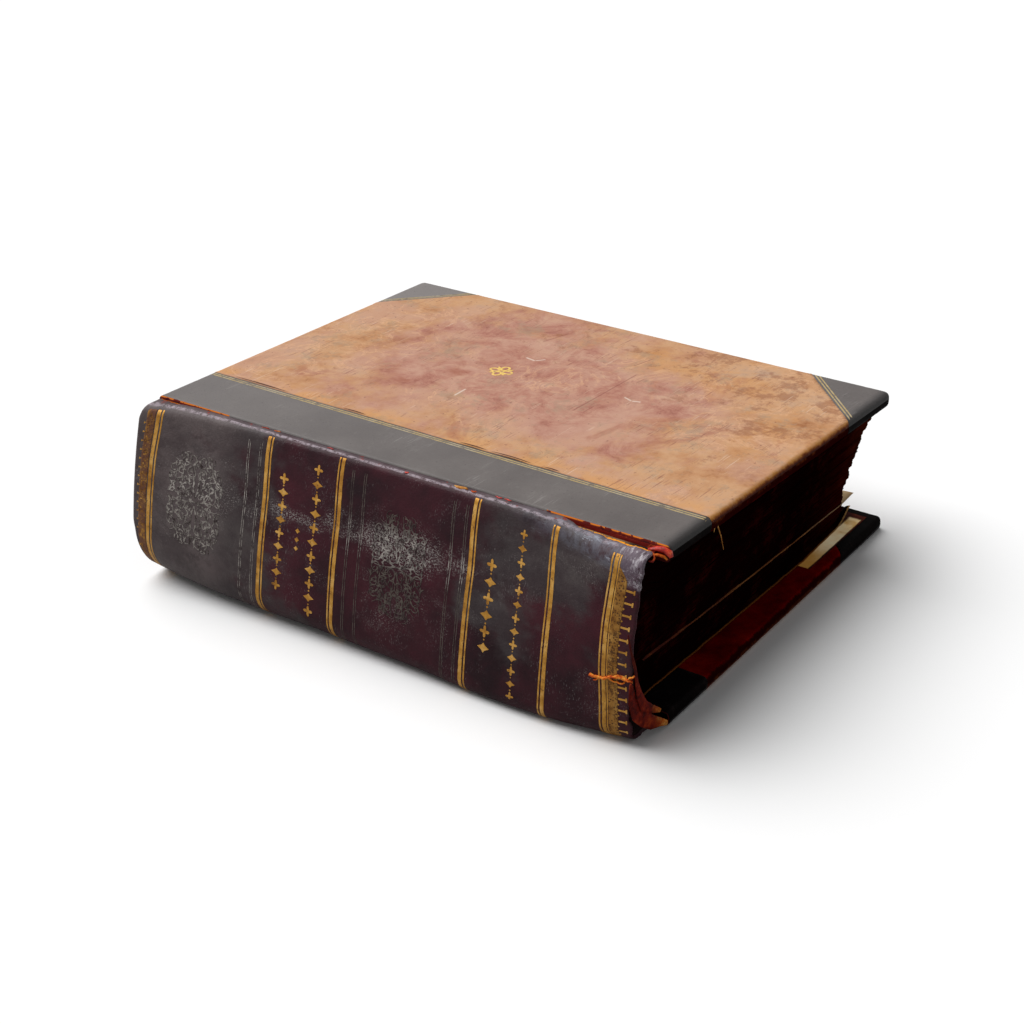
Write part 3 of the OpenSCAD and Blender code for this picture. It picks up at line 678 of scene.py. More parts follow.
def page_edge():
    """Edges of the leaves, stained maroon, with a line for each leaf."""
    f = Finish("maroon_leaves", Specular_IOR_Level=0.0)
    p = f.place()
    x, y, z = f.book_place()
    layer = f.noise(f.stretch(p, (0.02, 0.02, 1.0)), 2600.0, 3.0, 0.7)
    wide = f.noise(f.stretch(p, (0.05, 0.05, 1.0)), 420.0, 3.0, 0.6)
    f.tone = f.ramp(layer, [(0.32, (0.020, 0.0006, 0.0005)), (0.52, (0.085, 0.0030, 0.0016)),
                          (0.66, (0.15, 0.0120, 0.0040)), (0.78, (0.26, 0.060, 0.018))])
    f.paint(f.between(wide, 0.57, 0.74) * 0.5, (0.22, 0.040, 0.012))
    f.paint(f.between(x, 180.0, 200.0) * f.between(z, 30.0, 55.0) * 0.5, (0.34, 0.060, 0.020))
    blotch = f.patches(p, (40.0, 4.0, 0.6), 0.48, 0.66)
    f.paint(blotch * 0.6, (0.013, 0.0008, 0.0008))
    # painted shade: the tail is nearly black, with dull red patches
    tail = f.below(y, 24.0, 36.0) * (1.0 - 0.35 * f.between(x, 150.0, 206.0))
    tail_shade = f.colour(f.patches(p, (55.0, 5.0, 0.75), 0.50, 0.66) * f.between(layer, 0.40, 0.60),
                    (0.0022, 0.0003, 0.0003), (0.040, 0.0022, 0.0020))
    f.paint(tail * 0.96, tail_shade)
    return f.feed(Base_Color=f.tone, Roughness=0.9, Normal=f.bump(layer, 0.6, 0.0004))


def old_paper():
    """Cream endpaper, foxed and browned."""
    f = Finish("foxed_paper", Specular_IOR_Level=0.15)
    p = f.place()
    f.tone = f.ramp(f.noise(p, 14.0, 5.0, 0.6), [
        (0.35, (0.46, 0.29, 0.14)), (0.5, (0.58, 0.41, 0.23)), (0.68, (0.66, 0.52, 0.34))])
    fox = f.patches(p, (170.0, 4.0, 0.7), 0.62, 0.70)
    f.paint(fox * 0.6, (0.36, 0.18, 0.06))
    # browned along the tail, rust near the spine and tan further out
    x, y, _ = f.book_place()
    near_tail = f.below(y + f.wander(p, (60.0, 4.0, 0.7), 5.0), 16.0, 24.0)
    along = x + f.wander(p, (50.0, 3.0), 50.0)
    for low, high, colours in (
            (150.0, 212.0, ((0.20, 0.060, 0.018), (0.34, 0.125, 0.035), (0.46, 0.21, 0.075))),
            (10.0, 110.0, ((0.060, 0.006, 0.004), (0.145, 0.024, 0.008), (0.30, 0.085, 0.022)))):
        stain = f.ramp(f.noise(p, 90.0, 4.0, 0.7), list(zip((0.4, 0.55, 0.7), colours)))
        f.paint(near_tail * f.below(along, low, high), stain)
    return f.feed(Base_Color=f.tone, Roughness=0.85,
                  Normal=f.bump(f.noise(p, 900.0, 4.0, 0.6), 0.15, 0.0002))


def stained_shaded_paper():
    """The pastedown of the back board: cream in one strip at the tail, which glows a little as painted light;
    dark beside it, partly stain and partly painted shade.
    """
    f = Finish("stained_shaded_paper", Specular_IOR_Level=0.1, Emission_Strength=0.16)
    p = f.place()
    x, y, _ = f.book_place()
    wander = f.wander(p, (180.0, 4.0, 0.7), 2.2)
    cream = f.ramp(f.noise(p, 60.0, 5.0, 0.65), [
        (0.35, (0.64, 0.38, 0.12)), (0.48, (0.88, 0.67, 0.37)), (0.66, (0.96, 0.83, 0.56))])
    golden = f.below(x + wander * 6.0, 150.0, 176.0) * f.below(y, 15.0, 30.0)
    cream = f.colour(golden, cream, (0.50, 0.25, 0.055))
    # dark beside the cream strip: partly stain and partly painted shade
    dark = f.ramp(f.noise(p, 80.0, 5.0, 0.7), [
        (0.38, (0.012, 0.0010, 0.0008)), (0.55, (0.055, 0.0050, 0.0025)), (0.70, (0.15, 0.030, 0.010))])
    strip = f.below(y + wander, 13.2, 14.4) * f.between(x + wander, 143.0, 145.0) \
        * f.below(x + wander, 202.0, 204.0) * f.between(y + wander * 0.4, 7.0, 7.6)
    inside = f.between(y, 30.0, 60.0)
    f.tone = f.colour(f.math("MAXIMUM", strip, inside), dark, cream)
    # the cream strip glows a little through the emission: painted light
    return f.feed(Base_Color=f.tone, Roughness=0.85, Emission_Color=f.colour(strip, (0.0, 0.0, 0.0), cream),
                  Normal=f.bump(f.noise(p, 900.0, 4.0, 0.6), 0.2, 0.0002))


def stained_shaded_leaf():
    """The free endpaper at the back, stained dark and darkened further as painted shade, with a thin
    orange-brown edge at the tail.
    """
    f = Finish("stained_shaded_endleaf", Specular_IOR_Level=0.0)
    p = f.place()
    x, y, _ = f.book_place()
    from_edge, _, _ = f.split(f.sheet())
    # the dark ground: partly stain and partly painted shade
    f.tone = f.ramp(f.noise(p, 80.0, 5.0, 0.7), [
        (0.38, (0.0040, 0.0008, 0.0006)), (0.55, (0.016, 0.0020, 0.0012)), (0.70, (0.055, 0.010, 0.004))])
    f.paint(f.between(y, 30.0, 60.0), (0.62, 0.46, 0.27))
    rim = f.below(from_edge + f.wander(p, (240.0, 4.0, 0.7), 0.9), 0.45, 0.95)
    brown = f.colour(f.between(x, 160.0, 200.0), (0.30, 0.095, 0.020), (0.58, 0.33, 0.12))
    f.paint(rim, brown)
    return f.feed(Base_Color=f.tone, Roughness=0.85,
                  Normal=f.bump(f.noise(p, 900.0, 4.0, 0.6), 0.2, 0.0002))


def torn_flap():
    """The torn leather at the back joint: nearly black above, dark red below, orange at its tips."""
    f = Finish("torn_flap", Specular_IOR_Level=0.1)
    p = f.place()
    x, _, z = f.book_place()
    f.tone = f.ramp(f.noise(p, 130.0, 5.0, 0.72), [
        (0.36, (0.040, 0.001, 0.001)), (0.50, (0.170, 0.009, 0.003)), (0.62, (0.34, 0.040, 0.008)),
        (0.74, (0.55, 0.120, 0.022))])
    f.paint(f.between(z, 26.0, 44.0) * 0.75, (0.030, 0.0015, 0.0015))
    tip = f.between(x + f.wander(p, (200.0, 4.0, 0.7), 7.0), -11.0, -2.0)
    f.paint(tip, f.ramp(f.noise(p, 300.0, 4.0, 0.7), [
        (0.38, (0.40, 0.035, 0.006)), (0.52, (0.85, 0.21, 0.020)), (0.66, (0.95, 0.48, 0.12))]))
    return f.feed(Base_Color=f.tone, Roughness=0.65, Normal=f.bump(f.noise(p, 600.0, 4.0, 0.7), 0.6, 0.0006))


def torn_rim():
    """The board's edge in a crack: an orange line at its top, dark red below."""
    f = Finish("torn_rim", Specular_IOR_Level=0.1)
    p = f.place()
    _, depth, _ = f.split(f.sheet())
    rough = f.noise(f.stretch(p, (1.0, 0.15, 1.0)), 300.0, 4.0, 0.7)
    wide = f.noise(p, 130.0, 4.0, 0.7)
    f.tone = f.ramp(f.math("DIVIDE", depth + (rough - 0.5) * 0.8 + f.between(wide, 0.50, 0.60) * 0.9, 4.0), [
        (0.0, (0.60, 0.12, 0.010)), (0.10, (0.85, 0.26, 0.020)), (0.20, (0.16, 0.008, 0.003)),
        (0.5, (0.045, 0.0020, 0.0015))])
    return f.feed(Base_Color=f.tone, Roughness=0.7)


def crack_bed():
    """The bed of a crack: dark red at the board, deepened as painted shade towards its hollow, golden orange
    at the leather's lip.
    """
    f = Finish("crack_bed", Specular_IOR_Level=0.1)
    p = f.place()
    across, _, end = f.split(f.sheet())
    rough = f.noise(f.stretch(p, (1.0, 0.16, 1.0)), 330.0, 4.0, 0.7)
    # the dark band from the board to the hollow is partly painted shade
    f.tone = f.ramp(across + (rough - 0.5) * 0.45 + f.wander(p, (110.0, 4.0, 0.7), 0.9), [
        (0.0, (0.55, 0.10, 0.008)), (0.07, (0.16, 0.008, 0.003)), (0.40, (0.095, 0.0035, 0.002)),
        (0.52, (0.50, 0.060, 0.005)), (0.70, (0.88, 0.33, 0.015)), (1.0, (0.80, 0.36, 0.040))])
    f.paint(f.patches(p, (260.0, 4.0, 0.75), 0.57, 0.66) * 0.7, (0.10, 0.006, 0.003))
    # the narrow crack at the head shows its golden bed only
    f.paint(f.between(end, 0.4, 0.6) * 0.8, f.ramp(rough, [
        (0.36, (0.26, 0.022, 0.005)), (0.47, (0.62, 0.160, 0.012)), (0.62, (0.85, 0.340, 0.030))]))
    return f.feed(Base_Color=f.tone, Roughness=0.7, Normal=f.bump(rough, 0.7, 0.0008))


def brown_board():
    """Bare millboard and lining paper."""
    f = Finish("bare_millboard", Specular_IOR_Level=0.2)
    p = f.place()
    f.tone = f.ramp(f.noise(p, 90.0, 5.0, 0.7), [
        (0.35, (0.16, 0.09, 0.045)), (0.6, (0.30, 0.19, 0.10))])
    _, y, _ = f.book_place()
    # painted shade: near black towards the tail
    f.paint(f.below(y + f.wander(p, (120.0, 3.0), 4.0), 15.0, 24.0), (0.010, 0.0018, 0.0015))
    return f.feed(Base_Color=f.tone, Roughness=0.9,
                  Normal=f.bump(f.noise(p, 500.0, 4.0, 0.7), 0.5, 0.0004))


def plain_finish(name, shine, roughness, grain, stops, relief=None, strength=0.0, depth=0.0):
    """Colours along one noise. grain and relief are a noise's scale, detail and roughness."""
    f = Finish(name, Specular_IOR_Level=shine, Roughness=roughness)
    p = f.place()
    if relief:
        f.feed(Normal=f.bump(f.noise(p, *relief), strength, depth))
    return f.feed(Base_Color=f.ramp(f.noise(p, *grain), stops))


CLOTH, RED_CLOTH, LEATHER, BLACK_LEATHER = side_cloth(), turned_cloth(), side_leather(), black_leather()
SPINE, GOLD, DULL_GOLD, STAMPED = spine_skin(), gold_leaf(), pale_gold(), stamped_skin()
COVER_GOLD, GOLD_GROUND, CRACK = cover_gold(), gold_ground(), crack_bed()
FLAP, TORN_RIM, PAGES, PAPER = torn_flap(), torn_rim(), page_edge(), old_paper()
BOARD, STAINED_SHADED_PAPER, STAINED_SHADED_LEAF = brown_board(), stained_shaded_paper(), stained_shaded_leaf()
# the rust-coloured inside of cracked leather, and the deeper red of the torn lump at the joint
TORN = plain_finish("rust_leather", 0.15, 0.6, (200.0, 5.0, 0.75), [
    (0.34, (0.045, 0.002, 0.002)), (0.45, (0.26, 0.014, 0.004)), (0.56, (0.62, 0.100, 0.008)),
    (0.68, (0.88, 0.36, 0.035))], (900.0, 4.0, 0.7), 0.6, 0.0006)
FLESH = plain_finish("red_torn_leather", 0.4, 0.4, (150.0, 5.0, 0.7), [
    (0.36, (0.10, 0.002, 0.002)), (0.48, (0.42, 0.010, 0.006)), (0.58, (0.72, 0.045, 0.016)),
    (0.70, (0.90, 0.26, 0.08))], (500.0, 4.0, 0.7), 0.5, 0.0006)
# bright twisted thread, loose threads of the cloth, and hemp cord and faded silk
ORANGE = plain_finish("orange_thread", 0.2, 0.7, (420.0, 4.0, 0.75), [
    (0.36, (0.34, 0.020, 0.004)), (0.48, (0.80, 0.150, 0.012)), (0.62, (0.95, 0.42, 0.06))],
    (1200.0, 3.0, 0.7), 0.6, 0.0005)
FRAY = plain_finish("frayed_cloth", 0.1, 0.8, (180.0, 4.0, 0.7), [
    (0.36, (0.22, 0.055, 0.012)), (0.50, (0.48, 0.20, 0.045)), (0.64, (0.66, 0.36, 0.11))])
THREAD = plain_finish("old_thread", 0.2, 0.85, (1500.0, 3.0, 0.7), [
    (0.4, (0.30, 0.20, 0.10)), (0.6, (0.52, 0.40, 0.24))], (1500.0, 3.0, 0.7), 0.6, 0.0003)


# Meshes

def add(name, data):
    """A new object in the scene."""
    made = bpy.data.objects.new(name, data)
    bpy.context.scene.collection.objects.link(made)
    return made


def look_up(made):
    """A new mesh of what an object's modifiers make."""
    graph = bpy.context.evaluated_depsgraph_get()
    return bpy.data.meshes.new_from_object(made.evaluated_get(graph))


def piece(name, points, faces, materials, body, smooth=True, solid=0.0, tidy=True, sheet=None):
    """A mesh piece that rides on a body. solid gives a sheet that thickness, inwards, in millimetres.

    sheet holds three numbers for each point, which a material reads with Finish.sheet().
    """
    data = bpy.data.meshes.new(name)
    data.from_pydata(points, [], faces)
    if sheet:
        data.attributes.new("sheet", "FLOAT_VECTOR", "POINT").data.foreach_set(
            "vector", [number for triple in sheet for number in triple])
    made = add(name, data)
    for material in materials:
        data.materials.append(material)
    if tidy:
        tidy_mesh(data)
    if solid:
        thicken(made, solid)
    made.data.shade_smooth() if smooth else made.data.shade_flat()
    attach(made, body)
    return made


def tidy_mesh(data):
    """Merges doubles and turns the faces outwards."""
    edit = bmesh.new()
    edit.from_mesh(data)
    bmesh.ops.remove_doubles(edit, verts=edit.verts, dist=1e-6)
    bmesh.ops.recalc_face_normals(edit, faces=edit.faces)
    edit.to_mesh(data)
    edit.free()


def thicken(made, depth, offset=-1.0):
    """Gives a sheet a wall, behind its faces unless offset says otherwise."""
    wall = made.modifiers.new("wall", "SOLIDIFY")
    wall.thickness = depth * MM
    wall.offset = offset
    wall.use_even_offset = True
    freeze(made)


def freeze(made):
    """Applies what the modifiers do to the mesh and removes them."""
    result = look_up(made)
    made.modifiers.clear()
    old = made.data
    made.data = result
    bpy.data.meshes.remove(old)


def cut_along(edit, point, normal, reach):
    """Cuts the faces of a mesh along a plane. Points within reach of it are taken as on it."""
    bmesh.ops.bisect_plane(edit, geom=edit.verts[:] + edit.edges[:] + edit.faces[:], dist=reach,
                           plane_co=point, plane_no=normal)


def grid_faces(rows, columns):
    """Quads of a grid of points that is stored row by row."""
    return [(o, o + 1, o + columns + 1, o + columns)
            for r in range(rows - 1) for o in range(r * columns, (r + 1) * columns - 1)]


def tube_faces(first, rings, sides=4):
    """Faces of a closed tube. Its rings of points are stored one after another, from first."""
    last = first + sides * (rings - 1)
    walls = [(o + k, o + (k + 1) % sides, o + sides + (k + 1) % sides, o + sides + k)
             for o in range(first, last, sides) for k in range(sides)]
    return walls + [tuple(range(first + sides - 1, first - 1, -1)), tuple(range(last, last + sides))]


# The spine

def crack_width(y):
    """Width of the crack along the front joint. It is closed in the middle of the book."""
    head = 0.7 * ease(BOARD_H - 46.0, BOARD_H - 40.0, y) + 1.9 * ease(BOARD_H - 34.0, BOARD_H - 10.0, y)
    tail = 0.6 * ease(64.0, 60.0, y) + 3.4 * ease(57.0, 42.0, y) + 2.3 * ease(44.0, 20.0, y)
    return max(0.0, head + tail) * (1 + 0.22 * ripple(y / 5.0, 0.0, 2.0) + 0.22 * ripple(y / 1.4, 0.0, 5.0))


def leather_lump(s, y):
    """How far the old leather has risen or sunk at a place."""
    return 0.22 * ripple(s / 22.0, y / 30.0) + 0.10 * ripple(s / 6.0, y / 7.0, 2.0)


def tooling_drift(s, y):
    """How far the tooling runs off true along the book, as the leather was stretched over the spine."""
    tail, head = ease(45.0, 25.0, y), ease(245.0, 270.0, y)
    at_tail = -1.2 + 1.5 * ease(6.0, 40.0, s) - 1.2 * ease(50.0, 80.0, s)
    at_head = -0.5 + ease(6.0, 40.0, s)
    return tail * at_tail + head * at_head - (1.0 - tail - head) * 2.3 * ease(6.0, 40.0, s)


def on_spine(s, y, lift=0.0):
    """A point on the spine leather, lift millimetres above it."""
    p, out = spine_section(s, y)
    q = p + out * lift
    return at(q.x, y, q.y)


def tail_of_leather(s):
    """Y of the spine leather's worn tail edge."""
    torn = math.exp(-((s - 42.0) / 16.0) ** 2)
    jag = 0.45 * ripple(s / 5.0, 0.0) + 0.45 * ripple(s / 1.3, 3.0)
    steps = 1.7 * ease(62.0, 80.0, s) * ease(84.0, 80.0, s) + 2.4 * ease(84.0, 98.0, s)
    return TAIL_WEAR - 1.3 + steps + 0.9 * torn + jag * ease(0.0, 6.0, s)


def head_of_leather(s):
    """Y of the spine leather's edge at the head, where it bulges over the silk band."""
    return BOARD_H - HEAD_SET + 2.6 * ease(0.5, 9.0, s) * ease(93.0, 76.0, s)


def spine_leather():
    """The leather over the spine, turned in at the head and worn ragged at the tail."""
    columns, rows, cap_rows = 130, 230, 7
    head_y = BOARD_H - HEAD_SET
    points, sheet = [], []
    for r in range(rows + cap_rows):
        for c in range(columns):
            share = c / (columns - 1)
            body_y = TAIL_WEAR + (head_y - TAIL_WEAR) * min(1.0, r / rows)
            crack = crack_width(body_y)
            s0 = crack * FLAT_TOP / section_at(body_y).lengths[0]
            s = s0 + (SPINE_LENGTH - s0) * share
            edge = s - s0
            if r < rows:
                tail = tail_of_leather(s)
                y = tail + (head_of_leather(s) - 1.6 - tail) * r / (rows - 1)
                lump = leather_lump(s, y)
                fray = math.exp(-max(0.0, y - 6.0) / 5.0) * math.exp(-((s - 8.0) / 6.0) ** 2)
                lump += fray * 0.9 * ripple(s / 2.0, y / 2.0, 5.0)
                lift = min(0.0, lump) if s > SPINE_LENGTH - FLAT_FOOT else lump
                if s < FLAT_TOP:
                    lift = 0.12 + 0.4 * lump
                # the torn lip of the crack has sunk and its rim curls up
                away = edge * section_at(y).lengths[0] / FLAT_TOP
                lift += 0.25 * ease(0.0, 1.2, crack) * math.exp(-away / 0.4)
                lift -= 0.9 * ease(1.5, 4.5, crack) * math.exp(-away / 2.2)
            else:
                turn = (r - rows + 1) / cap_rows * math.pi / 2
                y = head_of_leather(s) - 1.6 + 1.6 * math.sin(turn)
                lift = -1.6 * (1 - math.cos(turn))
            points.append(on_spine(s, y, lift))
            sheet.append((s, y, edge))
    made = piece("spine_leather_worn", points, grid_faces(rows + cap_rows, columns), [SPINE],
                 "leaves", solid=SPINE_T - 0.2, sheet=sheet)
    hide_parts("spine_leather")


def spine_lining():
    """Brown paper between the leather and the backs of the leaves."""
    columns, rows = 60, 60
    y0, y1 = TAIL_WEAR + 2.0, TOP_LEAF_Y + LEAF_H - 2.0
    points = []
    for r in range(rows):
        for c in range(columns):
            s = 0.9 + (SPINE_LENGTH - 1.8) * c / (columns - 1)
            points.append(on_spine(s, y0 + (y1 - y0) * r / (rows - 1), -SPINE_T - 0.2))
    made = piece("spine_lining_paper", points, grid_faces(rows, columns), [BOARD], "leaves",
                 solid=0.6)
    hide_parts("spine_lining")


def sewing_cords():
    """Flat hemp cords let into the backs of the leaves."""
    count, half_w, edge = 5, 1.1, 34.0
    points, faces = [], []
    steps, sides = 60, 8
    middle_tail = tail_at(JOINT_H / 2)
    for n in range(count):
        y = middle_tail + edge + (LEAF_H - 2 * edge) * n / (count - 1)
        first = len(points)
        for i in range(steps + 1):
            s = 9.0 + (SPINE_LENGTH - FLAT_FOOT - 11.0) * i / steps
            for a in angles(sides):
                points.append(on_spine(s, y + half_w * math.cos(a), -3.1 + 0.7 * math.sin(a)))
        faces += tube_faces(first, steps + 1, sides)
    made = piece("sewing_cords_flat", points, faces, [THREAD], "leaves")
    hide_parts("sewing_cords")


# Gold and blind tooling: drawn flat as s, y and lift, then laid on the spine

# Level of the bottom of all tooling, under the leather
TOOLED_LOW = -0.3


def tooling(name, points, faces, material):
    """A piece of tooling laid on the spine, from points of s, y and lift."""
    made = flat_piece(name, points, faces, material)
    for v in made.data.vertices:
        s, y, lift = v.co
        y += tooling_drift(s, y)
        y = max(y, tail_of_leather(s) + 0.25)
        v.co = on_spine(s, y, lift + leather_lump(s, y))
    tidy_mesh(made.data)
    made.data.shade_flat()
    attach(made, "leaves")
    return made


def flat_piece(name, points, faces, material):
    data = bpy.data.meshes.new(name)
    data.from_pydata(points, [], faces)
    data.materials.append(material)
    return add(name, data)


def band(points, faces, s0, s1, y, width, high, steps):
    """A closed strip along s, centred on y."""
    faces += tube_faces(len(points), steps + 1)
    for i in range(steps + 1):
        s = s0 + (s1 - s0) * i / steps
        w = width * (0.5 + 0.06 * ripple(s / 2.0, y))
        points += [(s, y - w, TOOLED_LOW), (s, y + w, TOOLED_LOW), (s, y + w, high), (s, y - w, high)]


def neighbours(path, i):
    """The points before and after point i of a path, or the point itself at an end."""
    return path[max(0, i - 1)], path[min(len(path) - 1, i + 1)]


def tapered_stroke(points, faces, path, widths, high):
    """A closed raised stroke along a path of (s, y) points."""
    faces += tube_faces(len(points), len(path))
    for i, p in enumerate(path):
        before, after = neighbours(path, i)
        run = Vector((after[0] - before[0], after[1] - before[1])).normalized()
        side = Vector((-run.y, run.x)) * widths[i] / 2
        for part, lift in ((-1, TOOLED_LOW), (1, TOOLED_LOW), (0.5, high), (-0.5, high)):
            points.append((p[0] + side.x * part, p[1] + side.y * part, lift))


RULE_S0, RULE_S1 = 5.0, SPINE_LENGTH - FLAT_FOOT - 4.5


def spine_rules():
    """The double gold rules: a broad line on the outside of each panel and a thin one within."""
    points, faces = [], []
    rules = [(HEAD_RULE_Y, -1), (UPPER_PANEL_Y + PANEL_H / 2, -1), (UPPER_PANEL_Y - PANEL_H / 2, 1),
             (LOWER_PANEL_Y + PANEL_H / 2, -1), (LOWER_PANEL_Y - PANEL_H / 2, 1), (TAIL_RULE_Y, 1)]
    for y, side in rules:
        for shift, width in ((-0.95, 1.9), (1.2, 0.75)):
            band(points, faces, RULE_S0, RULE_S1, y + side * shift, width, 0.08, 200)
    band(points, faces, RULE_S0, RULE_S1, TAIL_RULE_Y - 2.6, 0.6, 0.08, 200)
    made = tooling("spine_gold_rules", points, faces, GOLD)
    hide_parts("spine_gilt")


def gilt_grounds():
    """The stippled gilt bands between the end rules and their fringes."""
    columns, rows = 180, 9
    for name, y0, y1, end in (("tail", TAIL_RULE_Y - 3.1, TAIL_RULE_Y - 7.5, 0.0),
                              ("head", HEAD_RULE_Y + 2.4, HEAD_RULE_Y + 6.9, 1.0)):
        points, sheet = [], []
        for r in range(rows):
            for c in range(columns):
                y = y0 + (y1 - y0) * r / (rows - 1)
                s0 = max(RULE_S0, (21.5 - y) / 0.75)
                s = s0 + (RULE_S1 - s0) * c / (columns - 1)
                if r in (0, rows - 1):
                    y += 0.25 * ripple(s / 0.9, y, 1.0)
                y += tooling_drift(s, y)
                points.append(on_spine(s, y, 0.05 + leather_lump(s, y)))
                sheet.append((s, y, end))
        piece(f"spine_gilt_ground_{name}", points, grid_faces(rows, columns), [GOLD_GROUND], "leaves",
              solid=0.2, sheet=sheet)


def small_stamp(name, outline):
    """A flat little stamp from its outline, about the origin."""
    n = len(outline)
    points = [(x, y, TOOLED_LOW) for x, y in outline] + [(x * 0.9, y * 0.9, 0.07) for x, y in outline]
    made = flat_piece(name, points, tube_faces(0, 2, n), GOLD)
    made.hide_render = True
    return made


def petal_outline(inner, outer, steps):
    """A four-petalled flower, as steps points about the origin."""
    reaches = [inner + (outer - inner) * (0.5 + 0.5 * math.cos(4 * a)) for a in angles(steps)]
    return [(r * math.cos(a), r * math.sin(a)) for r, a in zip(reaches, angles(steps))]


def stamp_tree():
    """Sets copies of a stamp along a line of points, with a little play in size."""
    tree = bpy.data.node_groups.new("stamp_row", "GeometryNodeTree")
    face = tree.interface
    face.new_socket("Geometry", in_out="OUTPUT", socket_type="NodeSocketGeometry")
    face.new_socket("Geometry", in_out="INPUT", socket_type="NodeSocketGeometry")
    for name, kind, value in (("Stamp", "NodeSocketObject", None), ("Count", "NodeSocketInt", 8),
                              ("Start", "NodeSocketVector", None), ("Step", "NodeSocketVector", None),
                              ("Size", "NodeSocketFloat", 1.0), ("Play", "NodeSocketFloat", 0.05),
                              ("Seed", "NodeSocketInt", 1), ("Material", "NodeSocketMaterial", None)):
        socket = face.new_socket(name, in_out="INPUT", socket_type=kind)
        if value is not None:
            socket.default_value = value
    nodes = Nodes(tree)
    given = {socket.name: Value(nodes, socket) for socket in nodes.node("NodeGroupInput").outputs}
    line = nodes.value("GeometryNodeMeshLine", None, {
        "Count": given["Count"], "Start Location": given["Start"], "Offset": given["Step"]})
    stamp = nodes.value("GeometryNodeObjectInfo", None, {"Object": given["Stamp"]}, output="Geometry")
    play = nodes.value("FunctionNodeRandomValue", {"data_type": "FLOAT"}, {
        2: -1.0, 3: 1.0, "Seed": given["Seed"]}, output=1)
    size = nodes.value("ShaderNodeMath", {"operation": "MULTIPLY_ADD"}, {
        0: play, 1: given["Play"], 2: given["Size"]})
    spread = nodes.value("GeometryNodeInstanceOnPoints", None, {
        "Points": line, "Instance": stamp, "Scale": size})
    real = nodes.value("GeometryNodeRealizeInstances", None, {0: spread})
    paint = nodes.value("GeometryNodeSetMaterial", None, {
        "Geometry": real, "Material": given["Material"]})
    nodes.node("NodeGroupOutput", None, {0: paint})
    return tree


STAMP_TREE = stamp_tree()


def stamp_row(stamp, count, start, step, size, play, seed):
    """Points and faces of a row of stamps, still flat."""
    carrier = add("row", bpy.data.meshes.new("row"))
    row = carrier.modifiers.new("row", "NODES")
    row.node_group = STAMP_TREE
    values = {"Stamp": stamp, "Count": count, "Start": (*start, 0.0), "Step": (*step, 0.0),
              "Size": size, "Play": play, "Seed": seed, "Material": GOLD}
    for item in STAMP_TREE.interface.items_tree:
        if item.in_out == "INPUT" and item.name in values:
            row[item.identifier] = values[item.name]
    made = look_up(carrier)
    bpy.data.objects.remove(carrier)
    points = [tuple(v.co) for v in made.vertices]
    faces = [tuple(f.vertices) for f in made.polygons]
    bpy.data.meshes.remove(made)
    return points, faces


def gather(parts):
    """Joins lists of points and faces."""
    points, faces = [], []
    for more_points, more_faces in parts:
        first = len(points)
        points += more_points
        faces += [tuple(first + i for i in face) for face in more_faces]
    return points, faces


def tooth_outline():
    """One tooth of the fringe: a bar with a foot at its end."""
    return [(-0.5, -2.3), (0.5, -2.3), (0.5, 1.5), (1.15, 1.6), (1.15, 2.3), (-1.15, 2.3),
            (-1.15, 1.6), (-0.5, 1.5)]


def gold_stamps():
    """Fringes and dotted bands at both ends, and rows of small ornaments in the panels."""
    tooth = small_stamp("tooth", tooth_outline())
    up = [(-x, -y) for x, y in tooth_outline()]
    tooth_up = small_stamp("tooth_up", up)
    bead = small_stamp("bead", petal_outline(0.45, 0.75, 12))
    lozenge = small_stamp("lozenge", [(-1.9, 0), (-0.9, -0.9), (0, -2.7), (0.9, -0.9), (1.9, 0),
                                      (0.9, 0.9), (0, 2.7), (-0.9, 0.9)])
    flower = small_stamp("flower", petal_outline(0.8, 2.3, 32))
    length = RULE_S1 - RULE_S0 - 6.0
    pitch = 5.9
    teeth = int(length / pitch)
    parts = []
    for end, rule_y, side, stamp in (("tail", TAIL_RULE_Y, -1, tooth_up), ("head", HEAD_RULE_Y, 1, tooth)):
        squeeze, away, first = (1.0, 9.8, 1) if end == "tail" else (0.6, 6.7, 0)
        s = RULE_S0 + 6.0 + first * pitch
        step, count = (pitch, 0.0), teeth - first
        parts.append(stamp_row(stamp, count, (s, rule_y + side * away), step, squeeze, 0.06, 3))
        inner_y = rule_y + side * (away - 2.0 * squeeze)
        parts.append(stamp_row(bead, count, (s + pitch / 2, inner_y), step, 0.75, 0.15, 5))
    rows = [(UPPER_PANEL_Y + 11.2, 23.0, 77.0, 6.75, 1.25), (UPPER_PANEL_Y - 8.6, 14.0, 84.0, 7.0, 1.25),
            (LOWER_PANEL_Y + 10.4, 30.0, 66.0, 7.2, 1.3), (LOWER_PANEL_Y - 5.2, 13.0, 84.0, 5.9, 1.0)]
    for n, (y, s0, s1, step, size) in enumerate(rows):
        count = int((s1 - s0) / step) + 1
        parts.append(stamp_row(flower, (count + 1) // 2, (s0, y), (2 * step, 0.0), size, 0.04, 21 + n))
        parts.append(stamp_row(lozenge, count // 2, (s0 + step, y), (2 * step, 0.0), size, 0.04, 31 + n))
        parts.append(stamp_row(bead, count - 1, (s0 + step / 2, y), (step, 0.0), 0.6 * size, 0.1, 41 + n))
    parts.append(stamp_row(bead, 3, (46.0, UPPER_PANEL_Y + 0.6), (4.4, 0.0), 1.9, 0.1, 51))
    points, faces = gather(parts)
    tooling("spine_gold_stamps", points, faces, GOLD)
    for stamp in (tooth, tooth_up, bead, lozenge, flower):
        bpy.data.objects.remove(stamp)


